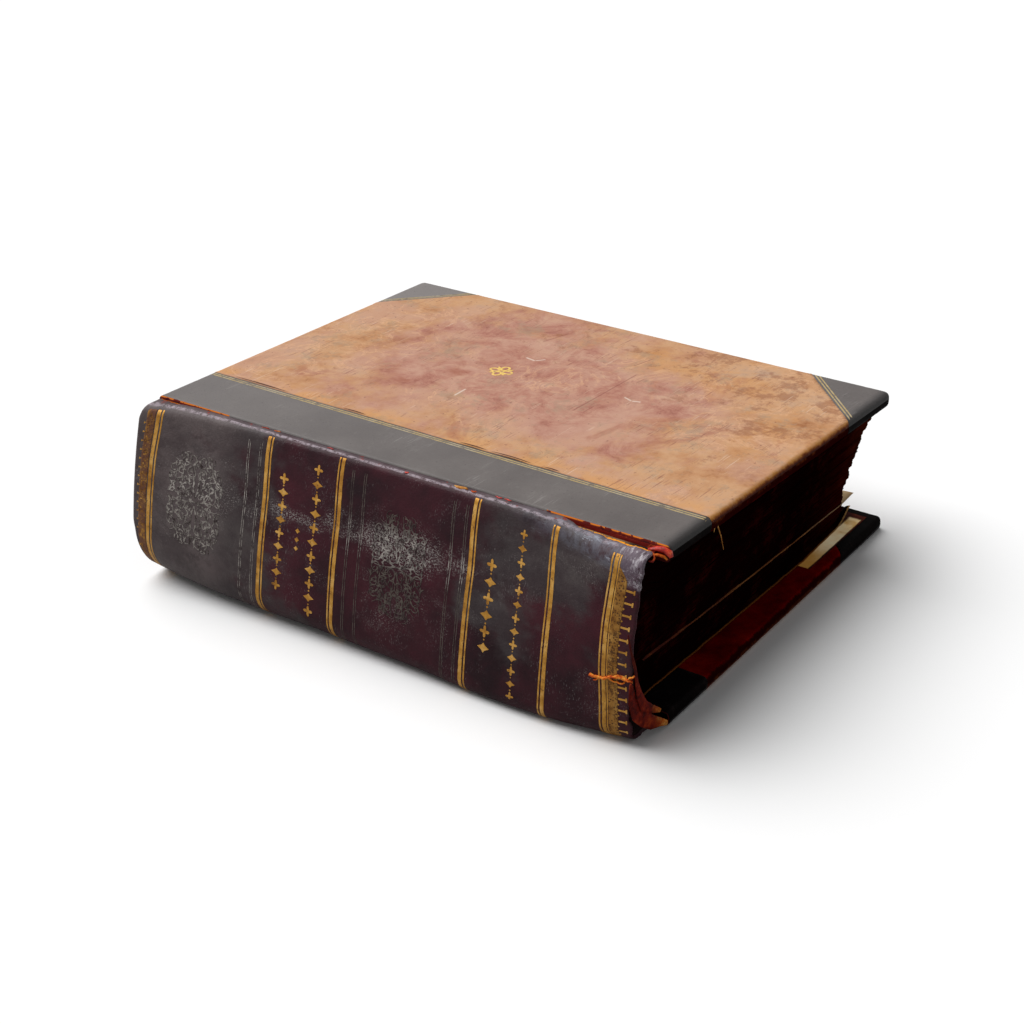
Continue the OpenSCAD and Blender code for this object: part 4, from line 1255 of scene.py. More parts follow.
def scroll(centre, radius, start, turns, steps, shrink):
    """A spiral that winds in from its outer end."""
    path = []
    for i in range(steps + 1):
        t = i / steps
        r = radius * (1 - shrink * t)
        a = start + turns * 2 * math.pi * t
        path.append((centre[0] + r * math.cos(a), centre[1] + r * math.sin(a)))
    return path


def bow(p, q, sag, steps=10):
    """A curved stem from p to q."""
    p, q = Vector(p), Vector(q)
    side = Vector((-(q - p).y, (q - p).x))
    shares = [i / steps for i in range(steps + 1)]
    return [tuple(p + (q - p) * t + side * sag * 4 * t * (1 - t)) for t in shares]


def arabesque_quarter(rng):
    """Strokes of one quarter of the ornament, as (path, width at its start, at its end)."""
    strokes = [
        (bow((0.0, 0.0), (10.0, 8.4), 0.25), 0.75, 0.5),
        (bow((2.0, 0.0), (24.5, 1.2), 0.06), 0.7, 0.35),
        (bow((0.0, 2.0), (1.2, 17.0), -0.08), 0.7, 0.35),
        (bow((10.0, 8.4), (20.5, 14.0), -0.2), 0.65, 0.3),
        (bow((16.0, 8.8), (24.0, 6.4), 0.22), 0.6, 0.3),
        (bow((5.0, 12.8), (12.5, 16.4), 0.25), 0.6, 0.3),
    ]
    for i in range(4):
        for j in range(3):
            x, y = 3.6 + 5.9 * i + rng.uniform(-0.7, 0.7), 3.2 + 5.6 * j + rng.uniform(-0.7, 0.7)
            if (x / 26.0) ** 2.4 + (y / 18.0) ** 2.4 < 1.0:
                path = scroll((x, y), rng.uniform(2.4, 3.3), rng.uniform(0, 6.28),
                              rng.choice((-1, 1)) * rng.uniform(0.75, 1.2), 16, 0.62)
                strokes.append((path, 0.85, 0.4))
                strokes.append((bow((x, y), (x + rng.uniform(2.0, 4.4), y + rng.uniform(-3.0, 3.0)), 0.35, 8),
                                0.75, 0.3))
    return strokes


def leaf_stroke(p, angle, length):
    """A small leaf: a stroke that swells in its middle."""
    path = bow(p, (p[0] + length * math.cos(angle), p[1] + length * math.sin(angle)), 0.12, 5)
    return path, [0.2, 0.8, 1.25, 1.1, 0.6, 0.15]


def arabesque(name, centre_s, centre_y, half_s, half_y, seed):
    """A blind-stamped block of scrolls and leaves, the same in its four quarters."""
    rng = random.Random(seed)
    strokes = [(path, [w0 + (w1 - w0) * i / (len(path) - 1) for i in range(len(path))])
               for path, w0, w1 in arabesque_quarter(rng)]
    for _ in range(62):
        start = (rng.uniform(1.0, 24.0), rng.uniform(1.0, 17.0))
        if (start[0] / 25.0) ** 2.4 + (start[1] / 18.0) ** 2.4 < 1.0:
            strokes.append(leaf_stroke(start, rng.uniform(0, 6.28), rng.uniform(1.7, 3.4)))
    points, faces = [], []
    for ms, my in ((1, 1), (-1, 1), (1, -1), (-1, -1)):
        for path, widths in strokes:
            placed = [(centre_s + ms * a * half_s / 25.0, centre_y + my * b * half_y / 18.0) for a, b in path]
            tapered_stroke(points, faces, placed, widths, 0.15)
    tooling(name, points, faces, STAMPED)


def blind_lines():
    """Plain pressed lines beside the panels, seen by the dust on their lips."""
    points, faces = [], []
    upper = UPPER_PANEL_Y + PANEL_H / 2
    mid_high = UPPER_PANEL_Y - PANEL_H / 2
    mid_low = LOWER_PANEL_Y + PANEL_H / 2
    lines = [upper + 4.6, upper + 5.7, upper + 11.8, upper + 12.9, mid_high - 7.0, mid_high - 8.1,
             mid_high - 14.0, mid_high - 15.1, mid_low + 4.2, mid_low + 5.3, mid_low + 11.2, mid_low + 12.3]
    for y in lines:
        band(points, faces, RULE_S0 + 4.0, RULE_S1 - 4.0, y, 0.34, 0.06, 110)
    tooling("spine_blind_lines", points, faces, STAMPED)


# Boards

def edge_lines(size, fine_start, fine_end):
    """Grid lines across a board, close together where the edge is round."""
    close = [0.0, 0.25, 0.6, 1.0, 1.5, 2.0, 2.6, 3.4, 4.4, 5.6, 7.0]
    low = close if fine_start else [0.0, 1.2, 2.6, 4.2, 6.0]
    high = [size - c for c in (close if fine_end else [0.0, 2.0, 4.5])]
    step = 2.2
    middle = []
    v = low[-1] + step
    while v < min(high) - 0.5 * step:
        middle.append(v)
        v += step
    return sorted(set(low + middle + high))


def plan_point(x, y):
    """Moves a grid point so that the board's outline has round corners, and gives its distance inside."""
    r = CORNER_R
    cx = BOARD_W - r
    for cy, way in ((r, -1), (BOARD_H - r, 1)):
        dx, dy = x - cx, (y - cy) * way
        if dx > 0 and dy > 0:
            reach = max(dx, dy)
            length = math.hypot(dx, dy)
            k = reach / length
            return cx + dx * k, cy + way * dy * k, r - reach
    return x, y, min(BOARD_W - x, y, BOARD_H - y)


def rub(x, y, e, seed):
    """Wear of a board's edge: it is pushed in a little, most at the corners."""
    near = math.exp(-max(0.0, e) / 1.6)
    corner = math.exp(-((BOARD_W - x) / 14.0) ** 2) * (math.exp(-(y / 14.0) ** 2)
                                                       + math.exp(-((BOARD_H - y) / 14.0) ** 2))
    push = 0.18 * ripple(x / 3.0, y / 3.0, seed) + 0.12 * ripple(x / 0.9, y / 0.9, seed + 2)
    return near * (0.10 + abs(push) + 0.22 * corner * (1 + ripple(x / 4.0, y / 4.0, seed)))


def rounding(e):
    """How far the board's round edge falls away at a distance e inside its outline."""
    return EDGE_R - math.sqrt(max(0.0, EDGE_R ** 2 - (EDGE_R - min(e, EDGE_R)) ** 2))


def face_depth(px, py, e, seed):
    """Depth of the worn outer face under the board's highest plane, its warp and the wear itself."""
    worn = rub(px, py, e, seed)
    warp = 0.10 * ripple(px / 60.0, py / 60.0, seed) * min(1.0, px / 30.0)
    return rounding(e) + 0.8 * worn, max(0.0, warp), worn


def strip_width(y):
    return STRIP_TAIL + (STRIP_HEAD - STRIP_TAIL) * y / BOARD_H


def past_seams(x, y):
    """How far a place is past the seams of the tail's and the head's corner, as shares of the corners."""
    return [(x - (BOARD_W - wide)) / wide - away / high
            for (wide, high), away in ((TAIL_CORNER, y), (HEAD_CORNER, BOARD_H - y))]


def region_of(x, y):
    """Which covering lies at a place on a board."""
    if x < strip_width(y):
        return "strip"
    past_tail, past_head = past_seams(x, y)
    return "corner_tail" if past_tail > 0 else "corner_head" if past_head > 0 else "cloth"


def board_shell(seed, torn):
    """The covered board as one closed sheet. Points are x, y, depth from the outer face.

    torn tells where along y the leather has come away from the spine's.
    """
    xs = [JOINT_GAP + v for v in edge_lines(BOARD_W - JOINT_GAP, False, True)]
    ys = edge_lines(BOARD_H, True, True)
    edit = bmesh.new()
    sheets = []
    for inner in (False, True):
        sheet = []
        for x in xs:
            column = []
            for y in ys:
                px, py, e = plan_point(x, y)
                depth, warp, worn = face_depth(px, py, e, seed)
                depth = BOARD_T - depth if inner else depth + warp
                shift = worn * math.exp(-max(0.0, e) / 1.0)
                cx = min(px, BOARD_W - CORNER_R)
                cy = min(max(py, CORNER_R), BOARD_H - CORNER_R)
                away = Vector((px - cx, py - cy))
                if away.length > 1e-6 and e < 3.0:
                    away.normalize()
                    px, py = px - away.x * shift, py - away.y * shift
                column.append(edit.verts.new((px, py, depth)))
            sheet.append(column)
        sheets.append(sheet)
    for inner, sheet in enumerate(sheets):
        for i in range(len(xs) - 1):
            for j in range(len(ys) - 1):
                quad = [sheet[i][j], sheet[i + 1][j], sheet[i + 1][j + 1], sheet[i][j + 1]]
                face = edit.faces.new(quad if inner else quad[::-1])
                face.material_index = inner
    outer, inner = sheets
    end_i, end_j = len(xs) - 1, len(ys) - 1
    rim = [(i, 0) for i in range(end_i + 1)] + [(end_i, j) for j in range(1, end_j + 1)] \
        + [(i, end_j) for i in range(end_i - 1, -1, -1)] + [(0, j) for j in range(end_j - 1, -1, -1)]
    for (i0, j0), (i1, j1) in zip(rim, rim[1:]):
        face = edit.faces.new([outer[i0][j0], outer[i1][j1], inner[i1][j1], inner[i0][j0]])
        at_joint = i0 == i1 == 0
        face.material_index = 2 if at_joint and torn(ys[j0]) else 0 if at_joint else 1
    return edit


def cut_shell(edit):
    """Cuts the sheet along the edges of the leather."""
    for a, b in (((STRIP_TAIL, 0.0), (STRIP_HEAD, BOARD_H)), TAIL_SEAM, HEAD_SEAM):
        run = Vector((b[0] - a[0], b[1] - a[1], 0.0)).normalized()
        cut_along(edit, (a[0], a[1], 0.0), (-run.y, run.x, 0.0), 1e-4)


def border_distance(x, y):
    """How far a place on the cloth is from the leather that it laps."""
    past_tail, past_head = past_seams(x, y)
    return min(x - strip_width(y), past_tail * -33.0, past_head * -31.0)


def lifted_edge(gap, y):
    """Height by which the cloth has come up off the spine's leather."""
    lifts = ((199.0, 7.0, 0.3), (128.0, 8.0, 0.4), (106.5, 10.0, 0.6), (84.0, 5.0, 0.3), (258.0, 16.0, 0.25))
    return sum(h * math.exp(-((y - c) / w) ** 2) for c, w, h in lifts) * ease(4.0, 0.0, gap)


def ragged(x, y, seed):
    """How far the cloth's edge wanders over the leather."""
    return 0.35 * ripple(x / 9.0, y / 9.0, seed) + 0.28 * ripple(x / 2.2, y / 2.2, seed + 1)


def cover_pieces(cover, placing, seed, torn):
    """The leather and the cloth of one cover, each a worn skin on the board."""
    whole = board_shell(seed, torn)
    cut_shell(whole)
    whole.faces.ensure_lookup_table()
    leather = [LEATHER, BLACK_LEATHER, TORN_RIM]
    layout = {"cloth": ("side_cloth", [CLOTH, RED_CLOTH, RED_CLOTH], "side_cloth"),
              "strip": ("spine_strip", leather, "side_leather"),
              "corner_head": ("corner_head", leather, "side_leather"),
              "corner_tail": ("corner_tail", leather, "side_leather")}
    regions = {}
    for face in whole.faces:
        middle = face.calc_center_median()
        kind = region_of(middle.x, middle.y)
        open_inside = middle.z > BOARD_T - 0.4 and TURN_IN < middle.y < BOARD_H - TURN_IN \
            and middle.x < BOARD_W - TURN_IN
        if not open_inside:
            regions.setdefault(kind, []).append(face)
    for kind, faces in regions.items():
        node, materials, slot = layout[kind]
        used = {}
        points, polygons, turned = [], [], []
        for face in faces:
            polygon = []
            for v in face.verts:
                key = tuple(round(c, 4) for c in v.co)
                if key not in used:
                    used[key] = len(points)
                    points.append(Vector(v.co))
                polygon.append(used[key])
            # the front cover is the mirror image of the back one
            polygons.append(polygon[::-1] if cover == "front" else polygon)
            turned.append(face.material_index)
        placed, sheet = [], []
        for x, y, depth in points:
            inset = min(x if x < 60 else BOARD_W, BOARD_W - x, y, BOARD_H - y)
            gap = x - strip_width(y)
            sheet.append((inset, depth, gap))
            if kind == "cloth":
                near = border_distance(x, y)
                if near < 0.4:
                    x += ragged(x, y, seed)
                if depth < 0.5 * BOARD_T:
                    depth -= 0.16 * ease(1.6, 0.0, near) + lifted_edge(gap, y)
            placed.append(placing(x, y, depth))
        made = piece(f"{cover}_{node}_worn", placed, polygons, materials, f"{cover}_cover",
                     tidy=False, sheet=sheet)
        for polygon, index in zip(made.data.polygons, turned):
            polygon.material_index = index
        # the front covering stands a little proud of its board
        thicken(made, COVER_T - 0.1, 2 * PROUD / (COVER_T - 0.1) - 1.0 if cover == "front" else -1.0)
        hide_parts(f"{cover}_{node}")
    whole.free()


def lay_on_cover(made, placing, seed):
    """Lays a flat piece of x, y and lift on the outer face of a cover."""
    for v in made.data.vertices:
        x, y, lift = v.co
        px, py, e = plan_point(x, y)
        depth, warp, _ = face_depth(px, py, e, seed)
        v.co = placing(x, y, depth + warp - lift - (PROUD if placing == on_front else 0.0))
    tidy_mesh(made.data)
    made.data.shade_flat()


def straight(a, b, steps):
    return [(a[0] + (b[0] - a[0]) * i / steps, a[1] + (b[1] - a[1]) * i / steps) for i in range(steps + 1)]


def fillets(cover, placing, seed):
    """Two thin gold lines along the strip and along each corner."""
    points, faces = [], []
    corner_lines = [(*TAIL_SEAM, (BOARD_W, 0.0)), (*HEAD_SEAM, (BOARD_W, BOARD_H))]
    for k in range(2):
        shift = FILLET_INSET + k * FILLET_PITCH
        paths = [straight((STRIP_TAIL - shift, 0.9), (STRIP_HEAD - shift, BOARD_H - 0.9), 220)]
        for a, b, corner in corner_lines:
            a, b, corner = Vector(a), Vector(b), Vector(corner)
            run = (b - a).normalized()
            toward = ((corner - a) - run * (corner - a).dot(run)).normalized() * shift
            path = straight(a + toward, b + toward, 60)
            paths.append([q for q in path if q[0] < BOARD_W - 0.8 and 0.8 < q[1] < BOARD_H - 0.8])
        for path in paths:
            widths = [1.75 * FILLET_W * (1.0 + 0.35 * ripple(q[0] / 2.0, q[1] / 2.0, seed)) for q in path]
            tapered_stroke(points, faces, path, widths, 0.10)
    made = flat_piece(f"{cover}_gold_lines", points, faces, DULL_GOLD)
    lay_on_cover(made, placing, seed)
    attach(made, f"{cover}_cover")
    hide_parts(f"{cover}_fillets")


def cover_ornament():
    """A small gold flower of four loops, with a dot between each two, on the front cloth."""
    cx, cy = 123.5, 172.5
    points, faces = [], []
    for k in range(4):
        a = k * math.pi / 2
        loop = []
        for i in range(15):
            t = 2 * math.pi * i / 14
            r, side = 1.2 + 5.2 * (0.5 - 0.5 * math.cos(t)), 1.9 * math.sin(t)
            c, s = math.cos(a), math.sin(a)
            loop.append((cx + r * c - side * s, cy + r * s + side * c))
        tapered_stroke(points, faces, loop, [1.9] * len(loop), 0.12)
        b = a + math.pi / 4
        tip = [(cx + r * math.cos(b), cy + r * math.sin(b)) for r in (2.6, 3.4, 5.2, 6.4)]
        tapered_stroke(points, faces, tip, [0.8, 2.4, 1.8, 0.4], 0.12)
    made = flat_piece("front_cover_ornament", points, faces, COVER_GOLD)
    lay_on_cover(made, on_front, 1.0)
    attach(made, "front_cover")


def dress_cad_nodes():
    """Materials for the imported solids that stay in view."""
    finishes = {"front_board": BOARD, "back_board": BOARD, "spine_lining": BOARD,
                "sewing_cords": THREAD, "head_band": THREAD, "front_fillets": DULL_GOLD,
                "back_fillets": DULL_GOLD, "front_endleaf": PAPER, "back_endleaf": PAPER,
                "front_pastedown": PAPER, "back_pastedown": STAINED_SHADED_PAPER, "loose_leaf": PAPER,
                "text_block": PAGES, "spine_gilt": GOLD}
    for node, material in finishes.items():
        data = frame["nodes"][node].data
        data.materials.clear()
        data.materials.append(material)


# Leaves

def tail_at(z):
    """Y of the leaves' tail: the lower leaves have slid towards the head."""
    span = JOINT_H - 2 * LEAVES_DEPTH
    return BOTTOM_LEAF_Y + (TOP_LEAF_Y - BOTTOM_LEAF_Y) * (z - LEAVES_DEPTH) / span


def leaf_plane(x, t):
    """Height of the leaves' layer t, 0 at the bottom and 1 at the top, with the shoulders at the joint."""
    flare = (BOARD_T - LEAVES_D + 0.4) * ease(3.0, -2.0, x)
    low = LEAVES_DEPTH - flare
    high = JOINT_H - LEAVES_DEPTH - max(0.0, x) * math.tan(WEDGE) + flare
    return low + (high - low) * t


def leaf_wave(x, n, seed):
    """How far the tail or head edge of bundle n of the leaves wanders."""
    return 0.18 * ripple(x / 14.0, n * 0.4, seed) + 0.10 * ripple(x / 3.0, n * 0.9, seed + 1.0)


def text_block():
    """The sewn leaves: thin bundles whose edges step in and out, gathered in sections."""
    rng = random.Random(7)
    fore_top_x = BOARD_W - TOP_LEAF_INSET - 0.8
    fore_foot_x = BOARD_W - BOTTOM_LEAF_INSET
    sections, per_section = 17, 6
    bundles = sections * per_section
    points, faces, layers = [], [], []
    for n in range(sections):
        swing_x, swing_y = rng.uniform(-0.7, 0.5), rng.uniform(-0.8, 0.8)
        for k in range(per_section):
            fold = (k + 0.5) / per_section * 2 - 1
            layers.append((swing_x - 0.55 * fold * fold + rng.uniform(-0.16, 0.16),
                           swing_y + 0.25 * fold + rng.uniform(-0.22, 0.22)))
    along, back_steps, fore_steps = 44, 24, 60
    for n, (dx, dy) in enumerate(layers):
        t0, t1 = n / bundles, (n + 1) / bundles
        tm = (t0 + t1) / 2
        z_mid = leaf_plane(100.0, tm)
        tail, head = tail_at(z_mid) + dy, tail_at(z_mid) + LEAF_H + dy
        fore = fore_foot_x + (fore_top_x - fore_foot_x) * tm - FORE_HOLLOW * 4 * tm * (1 - tm) + dx
        fore = min(fore, fore_top_x)
        xs = [fore - (fore + 4.0) * (i / along) ** 0.9 for i in range(along + 1)]
        ring = [(x, max(tail + leaf_wave(x, n, 1.0), 0.5)) for x in xs]
        for i in range(back_steps + 1):
            y = tail + (head - tail) * i / back_steps
            ring.append((max(section_at(y).leaves_x(leaf_plane(-5.0, t)) for t in (t0, t1)) + 0.3, y))
        ring += [(x, min(head + leaf_wave(x, n, 5.0), BOARD_H - 1.0)) for x in reversed(xs)]
        for i in range(1, fore_steps):
            y = head + (tail - head) * i / fore_steps
            wave = 0.16 * ripple(y / 16.0, n * 0.5, 8.0) + 0.10 * ripple(y / 3.0, n, 9.0)
            ring.append((min(fore + wave, fore_top_x + 0.2), y))
        faces += tube_faces(len(points), 2, len(ring))
        points += [at(x, y, leaf_plane(x, t)) for t in (t0, t1) for x, y in ring]
    made = piece("leaves_stack", points, faces, [PAGES, PAPER], "leaves",
                 smooth=False, tidy=False)
    edit = bmesh.new()
    edit.from_mesh(made.data)
    # the top and bottom leaves bend at the shoulders only, and show their paper
    edit.faces.ensure_lookup_table()
    per_bundle = len(edit.faces) // bundles
    for outer in (edit.faces[per_bundle - 2], edit.faces[-1]):
        outer.material_index = 1
    for x in (3.2, 0.0, -2.2):
        cut_along(edit, at(x, 0.0, 0.0), (1.0, 0.0, 0.0), 1e-7)
    bmesh.ops.recalc_face_normals(edit, faces=edit.faces)
    bmesh.ops.triangulate(edit, faces=[f for f in edit.faces if len(f.verts) > 4])
    edit.to_mesh(made.data)
    edit.free()
    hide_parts("text_block")


def loose_leaf():
    """The cream leaf that has come away, with its wavy edge and bent corner."""
    low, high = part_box("loose_leaf")
    x0, x1 = 1.0, (high.x - JOINT_X) / MM
    y1 = (high.y - TAIL_Y) / MM
    z1, z0 = low.z / MM, high.z / MM
    columns, rows = 90, 90
    points = []
    for r in range(rows):
        for c in range(columns):
            u, v = c / (columns - 1), r / (rows - 1)
            x = x0 + (x1 - x0) * u + 0.25 * ripple(v * 12.0, u, 1.0) * (u > 0.99)
            z = z0 + (z1 - z0) * u + 4.0 * (1.0 - u) ** 2
            y0 = tail_at(z) - 0.45 + 0.25 * ripple(x / 11.0, 0.0, 2.0) + 0.15 * ripple(x / 2.5, 0.0, 3.0)
            y = y0 + (y1 - y0) * v
            out = ease(x1 - 14.0, x1, x)
            corner = out * math.exp(-((y - y0) / 14.0) ** 2)
            z += out * 0.5 * ripple(y / 18.0, 0.0, 3.0) + 1.1 * corner
            points.append(at(x, y, z))
    made = piece("loose_cream_leaf", points, grid_faces(rows, columns), [PAPER], "leaves",
                 solid=0.22)
    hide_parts("loose_leaf")


def skewed_endleaf():
    """The free endpaper at the back. It has slid out at the tail, and its outer corner curls up."""
    x0, x1 = 1.0, BOARD_W - BOTTOM_LEAF_INSET - 0.5
    z = BOARD_T + 0.95
    columns, rows = 150, 60
    points, sheet = [], []
    for r in range(rows):
        for c in range(columns):
            x = x0 + (x1 - x0) * c / (columns - 1)
            y0 = 16.4 - 4.4 * min(x, 150.0) / 150.0 + 0.03 * max(0.0, x - 150.0)
            y0 += 0.30 * ripple(x / 9.0, 0.0, 4.0) + 0.18 * ripple(x / 1.8, 0.0, 6.0)
            y1 = BOTTOM_LEAF_Y + LEAF_H - 0.5
            share = (r / (rows - 1)) ** 2
            y = y0 + (y1 - y0) * share
            away = math.hypot(x - x1, y - y0)
            rise = 6.0 * math.exp(-(away / 6.5) ** 2) * (1.0 if y < 17.0 else 0.0)
            points.append(at(x, y, z + 0.25 * ease(18.0, 13.0, y) + rise))
            sheet.append((y - y0, 0.0, 0.0))
    made = piece("back_endleaf_skewed", points, grid_faces(rows, columns), [STAINED_SHADED_LEAF], "leaves",
                 solid=0.25, sheet=sheet)
    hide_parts("back_endleaf")


def head_band():
    """The silk band at the head: a cord wound round and round with thread."""
    steps, sides = 420, 8
    points = []
    for i in range(steps + 1):
        s = 9.5 + (SPINE_LENGTH - FLAT_FOOT - 12.0) * i / steps
        z = spine_section(s, 280.0)[0].y
        y = tail_at(z) + LEAF_H + 0.6
        wound = 0.75 + 0.10 * abs(math.sin(i * 0.75))
        for a in angles(sides):
            points.append(on_spine(s, y + wound * math.cos(a), -LEAVES_D - 0.9 + wound * math.sin(a)))
    made = piece("head_band_silk", points, tube_faces(0, steps + 1, sides), [THREAD], "leaves")
    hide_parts("head_band")


# Torn leather

def shred(name, path, widths, thickness, body, wobble, seed, facing=(0.0, 0.0, 1.0), material=TORN):
    """A strip of torn leather: a flattened, lumpy ribbon along a path of book points.

    facing is the direction of its thickness; without one it lies flat.
    """
    sides = 8
    points = []
    for i, p in enumerate(path):
        before, after = neighbours(path, i)
        run = (Vector(after) - Vector(before)).normalized()
        side = run.cross(Vector(facing))
        side = side.normalized() if side.length > 0.1 else Vector((1.0, 0.0, 0.0))
        up = side.cross(run).normalized()
        for k, a in enumerate(angles(sides)):
            lump = 1 + wobble * ripple(p[0] / 1.2 + k, p[1] / 1.2, p[2] / 1.2, seed)
            q = Vector(p) + side * math.cos(a) * widths[i] / 2 * lump \
                + up * math.sin(a) * thickness[i] / 2 * lump
            points.append(at(q.x, q.y, max(q.z, 0.05)))
    piece(name, points, tube_faces(0, len(path), sides), [material], body)


def joint_crack():
    """The torn bed of the crack along the front joint, and small chips beside it."""
    columns = 14
    spans = {"crack_head": (BOARD_H - 1.2, BOARD_H - 47.0, 1.0), "crack_tail": (64.0, 6.6, 0.0)}
    for name, (y0, y1, end) in spans.items():
        rows = int(abs(y1 - y0) / 0.35)
        points, sheet = [], []
        for r in range(rows + 1):
            y = y0 + (y1 - y0) * r / rows
            crack = crack_width(y)
            w = crack + 0.8
            sunk = 0.9 * ease(1.5, 4.5, crack)
            for c in range(columns):
                u = c / (columns - 1)
                x = -0.05 - w * u
                fibre = 0.35 * ripple(x / 0.5, y / 4.5, 3.0) + 0.22 * ripple(x / 0.35, y / 0.9, 6.0)
                hollow = (0.9 + 0.35 * crack) * math.exp(-((u - 0.32) / 0.20) ** 2)
                fibre *= ease(0.0, 0.12, u) * ease(1.0, 0.8, u)
                z = JOINT_H - GROUND_GAP - 0.35 - sunk * u - hollow + fibre
                points.append(at(x, y, z))
                sheet.append((u * w / max(crack, 0.3), y, end))
        piece(f"{name}_torn", points, grid_faces(rows + 1, columns), [CRACK], "leaves",
              solid=0.5, sheet=sheet)
    chips = [(106.5, -1.9, 7.5, 2.3, FRAY), (99.5, -2.2, 3.0, 1.2, TORN), (87.0, -1.0, 4.0, 0.8, FLESH),
             (82.0, -0.8, 4.0, 0.7, FLESH), (181.0, -1.8, 3.6, 1.0, FLESH), (221.0, -0.9, 5.0, 0.7, TORN),
             (214.0, -0.8, 4.0, 0.6, TORN), (136.0, -3.0, 2.2, 0.9, FLESH)]
    for n, (y, x, long, wide, material) in enumerate(chips):
        path = [(x + 0.3 * math.sin(i * 1.7 + n), y + long * (i / 4 - 0.5), JOINT_H - 0.1) for i in range(5)]
        shred(f"joint_chip_{n + 1}", path, [0.3 * wide, wide, 1.1 * wide, 0.8 * wide, 0.2 * wide],
              [0.4, 0.6, 0.6, 0.5, 0.3], "leaves", 0.6, 10.0 + n, material=material)


def tail_shreds():
    """Torn flaps, threads and slivers at the tail of the spine and of the front cover."""
    shred("tail_lump", [(-4.6, 8.4, 88.6), (-2.6, 5.6, 88.9), (-1.0, 2.8, 88.6), (-0.6, 0.6, 87.6),
                        (-1.2, -1.0, 86.0)],
          [1.4, 3.2, 4.8, 4.6, 2.0], [0.9, 1.8, 2.6, 2.8, 1.4], "leaves", 0.5, 1.0, material=FLESH)
    shred("tail_lump_fold", [(-6.6, 6.4, 87.6), (-4.6, 3.6, 87.4), (-2.8, 1.4, 86.4), (-2.6, 0.2, 85.0)],
          [0.7, 1.5, 1.7, 0.8], [0.6, 1.1, 1.2, 0.7], "leaves", 0.5, 7.0)
    shred("tail_loop", [(-5.0, 9.4, 88.2), (-4.8, 7.4, 88.4), (-5.4, 5.2, 87.8), (-7.0, 3.8, 86.8),
                        (-8.8, 3.6, 86.2), (-9.8, 5.0, 86.6)],
          [0.5, 0.8, 0.9, 1.0, 1.1, 0.6], [0.5, 0.7, 0.8, 0.9, 1.0, 0.6], "leaves", 0.5, 4.0)
    upright = (0.0, 1.0, 0.0)
    shred("tail_flap_band", [(-23.4, 6.6, 57.0), (-22.6, 5.6, 49.0), (-21.6, 4.0, 40.0), (-21.0, 3.8, 33.0),
                             (-19.4, 3.4, 26.0), (-16.0, 3.0, 19.4), (-10.4, 2.8, 14.2), (-3.2, 2.6, 9.8)],
          [0.8, 1.4, 1.9, 2.6, 4.2, 5.4, 4.6, 2.0], [0.5, 0.7, 0.8, 0.9, 1.0, 1.1, 1.0, 0.7],
          "leaves", 0.4, 2.0, facing=upright, material=FLAP)
    shred("tail_flap_body", [(-24.6, 4.6, 34.0), (-23.4, 4.4, 26.0), (-20.4, 4.0, 18.0), (-15.6, 3.2, 11.8),
                             (-10.0, 2.2, 7.6), (-5.4, 1.2, 5.0), (-1.6, 0.2, 3.0)],
          [2.0, 6.5, 9.0, 8.5, 6.0, 4.2, 2.2], [0.7, 1.0, 1.1, 1.1, 1.0, 1.2, 0.9],
          "leaves", 0.45, 5.0, facing=upright, material=FLAP)
    threads = ((61.0, 25.0, 4.6, 1.5), (62.4, 23.0, 8.0, 0.8), (59.4, 13.0, 3.6, 1.0))
    for n, (s, y0, y1, wide) in enumerate(threads):
        path = spine_thread(s, y0, y1, n)
        shred(f"tail_thread_{n + 1}", path, [wide] * len(path), [0.8 * wide] * len(path), "leaves",
              0.7, 3.0 + n, material=ORANGE)
    shred("cover_sliver", [(33.5, 0.9, 87.6), (36.6, 0.2, 86.4), (39.4, 0.1, 82.4), (43.4, 0.4, 74.8),
                           (46.4, 0.6, 66.6)],
          [0.9, 0.9, 0.7, 0.6, 0.2], [0.5, 0.5, 0.4, 0.4, 0.2], "front_cover", 0.4, 8.0, material=FRAY)
    shred("cover_sliver_short", [(33.8, 0.8, 87.5), (35.6, 0.1, 85.8), (36.8, 0.1, 81.8), (37.2, 0.4, 79.6)],
          [0.8, 0.8, 0.5, 0.2], [0.4, 0.4, 0.3, 0.2], "front_cover", 0.4, 9.0, material=FRAY)


def spine_thread(s0, y0, y1, n):
    """Points of an orange thread that lies across the tail's gold band."""
    path = []
    for i in range(13):
        t = i / 12
        s = s0 - 2.0 * t + 0.9 * math.sin(t * 7.0 + 2.0 * n) + 0.3 * math.sin(t * 23.0)
        y = y0 + (y1 - y0) * t
        p = on_spine(s, y, 0.5)
        path.append(((p.x - JOINT_X) / MM, (p.y - TAIL_Y) / MM, p.z / MM))
    return path


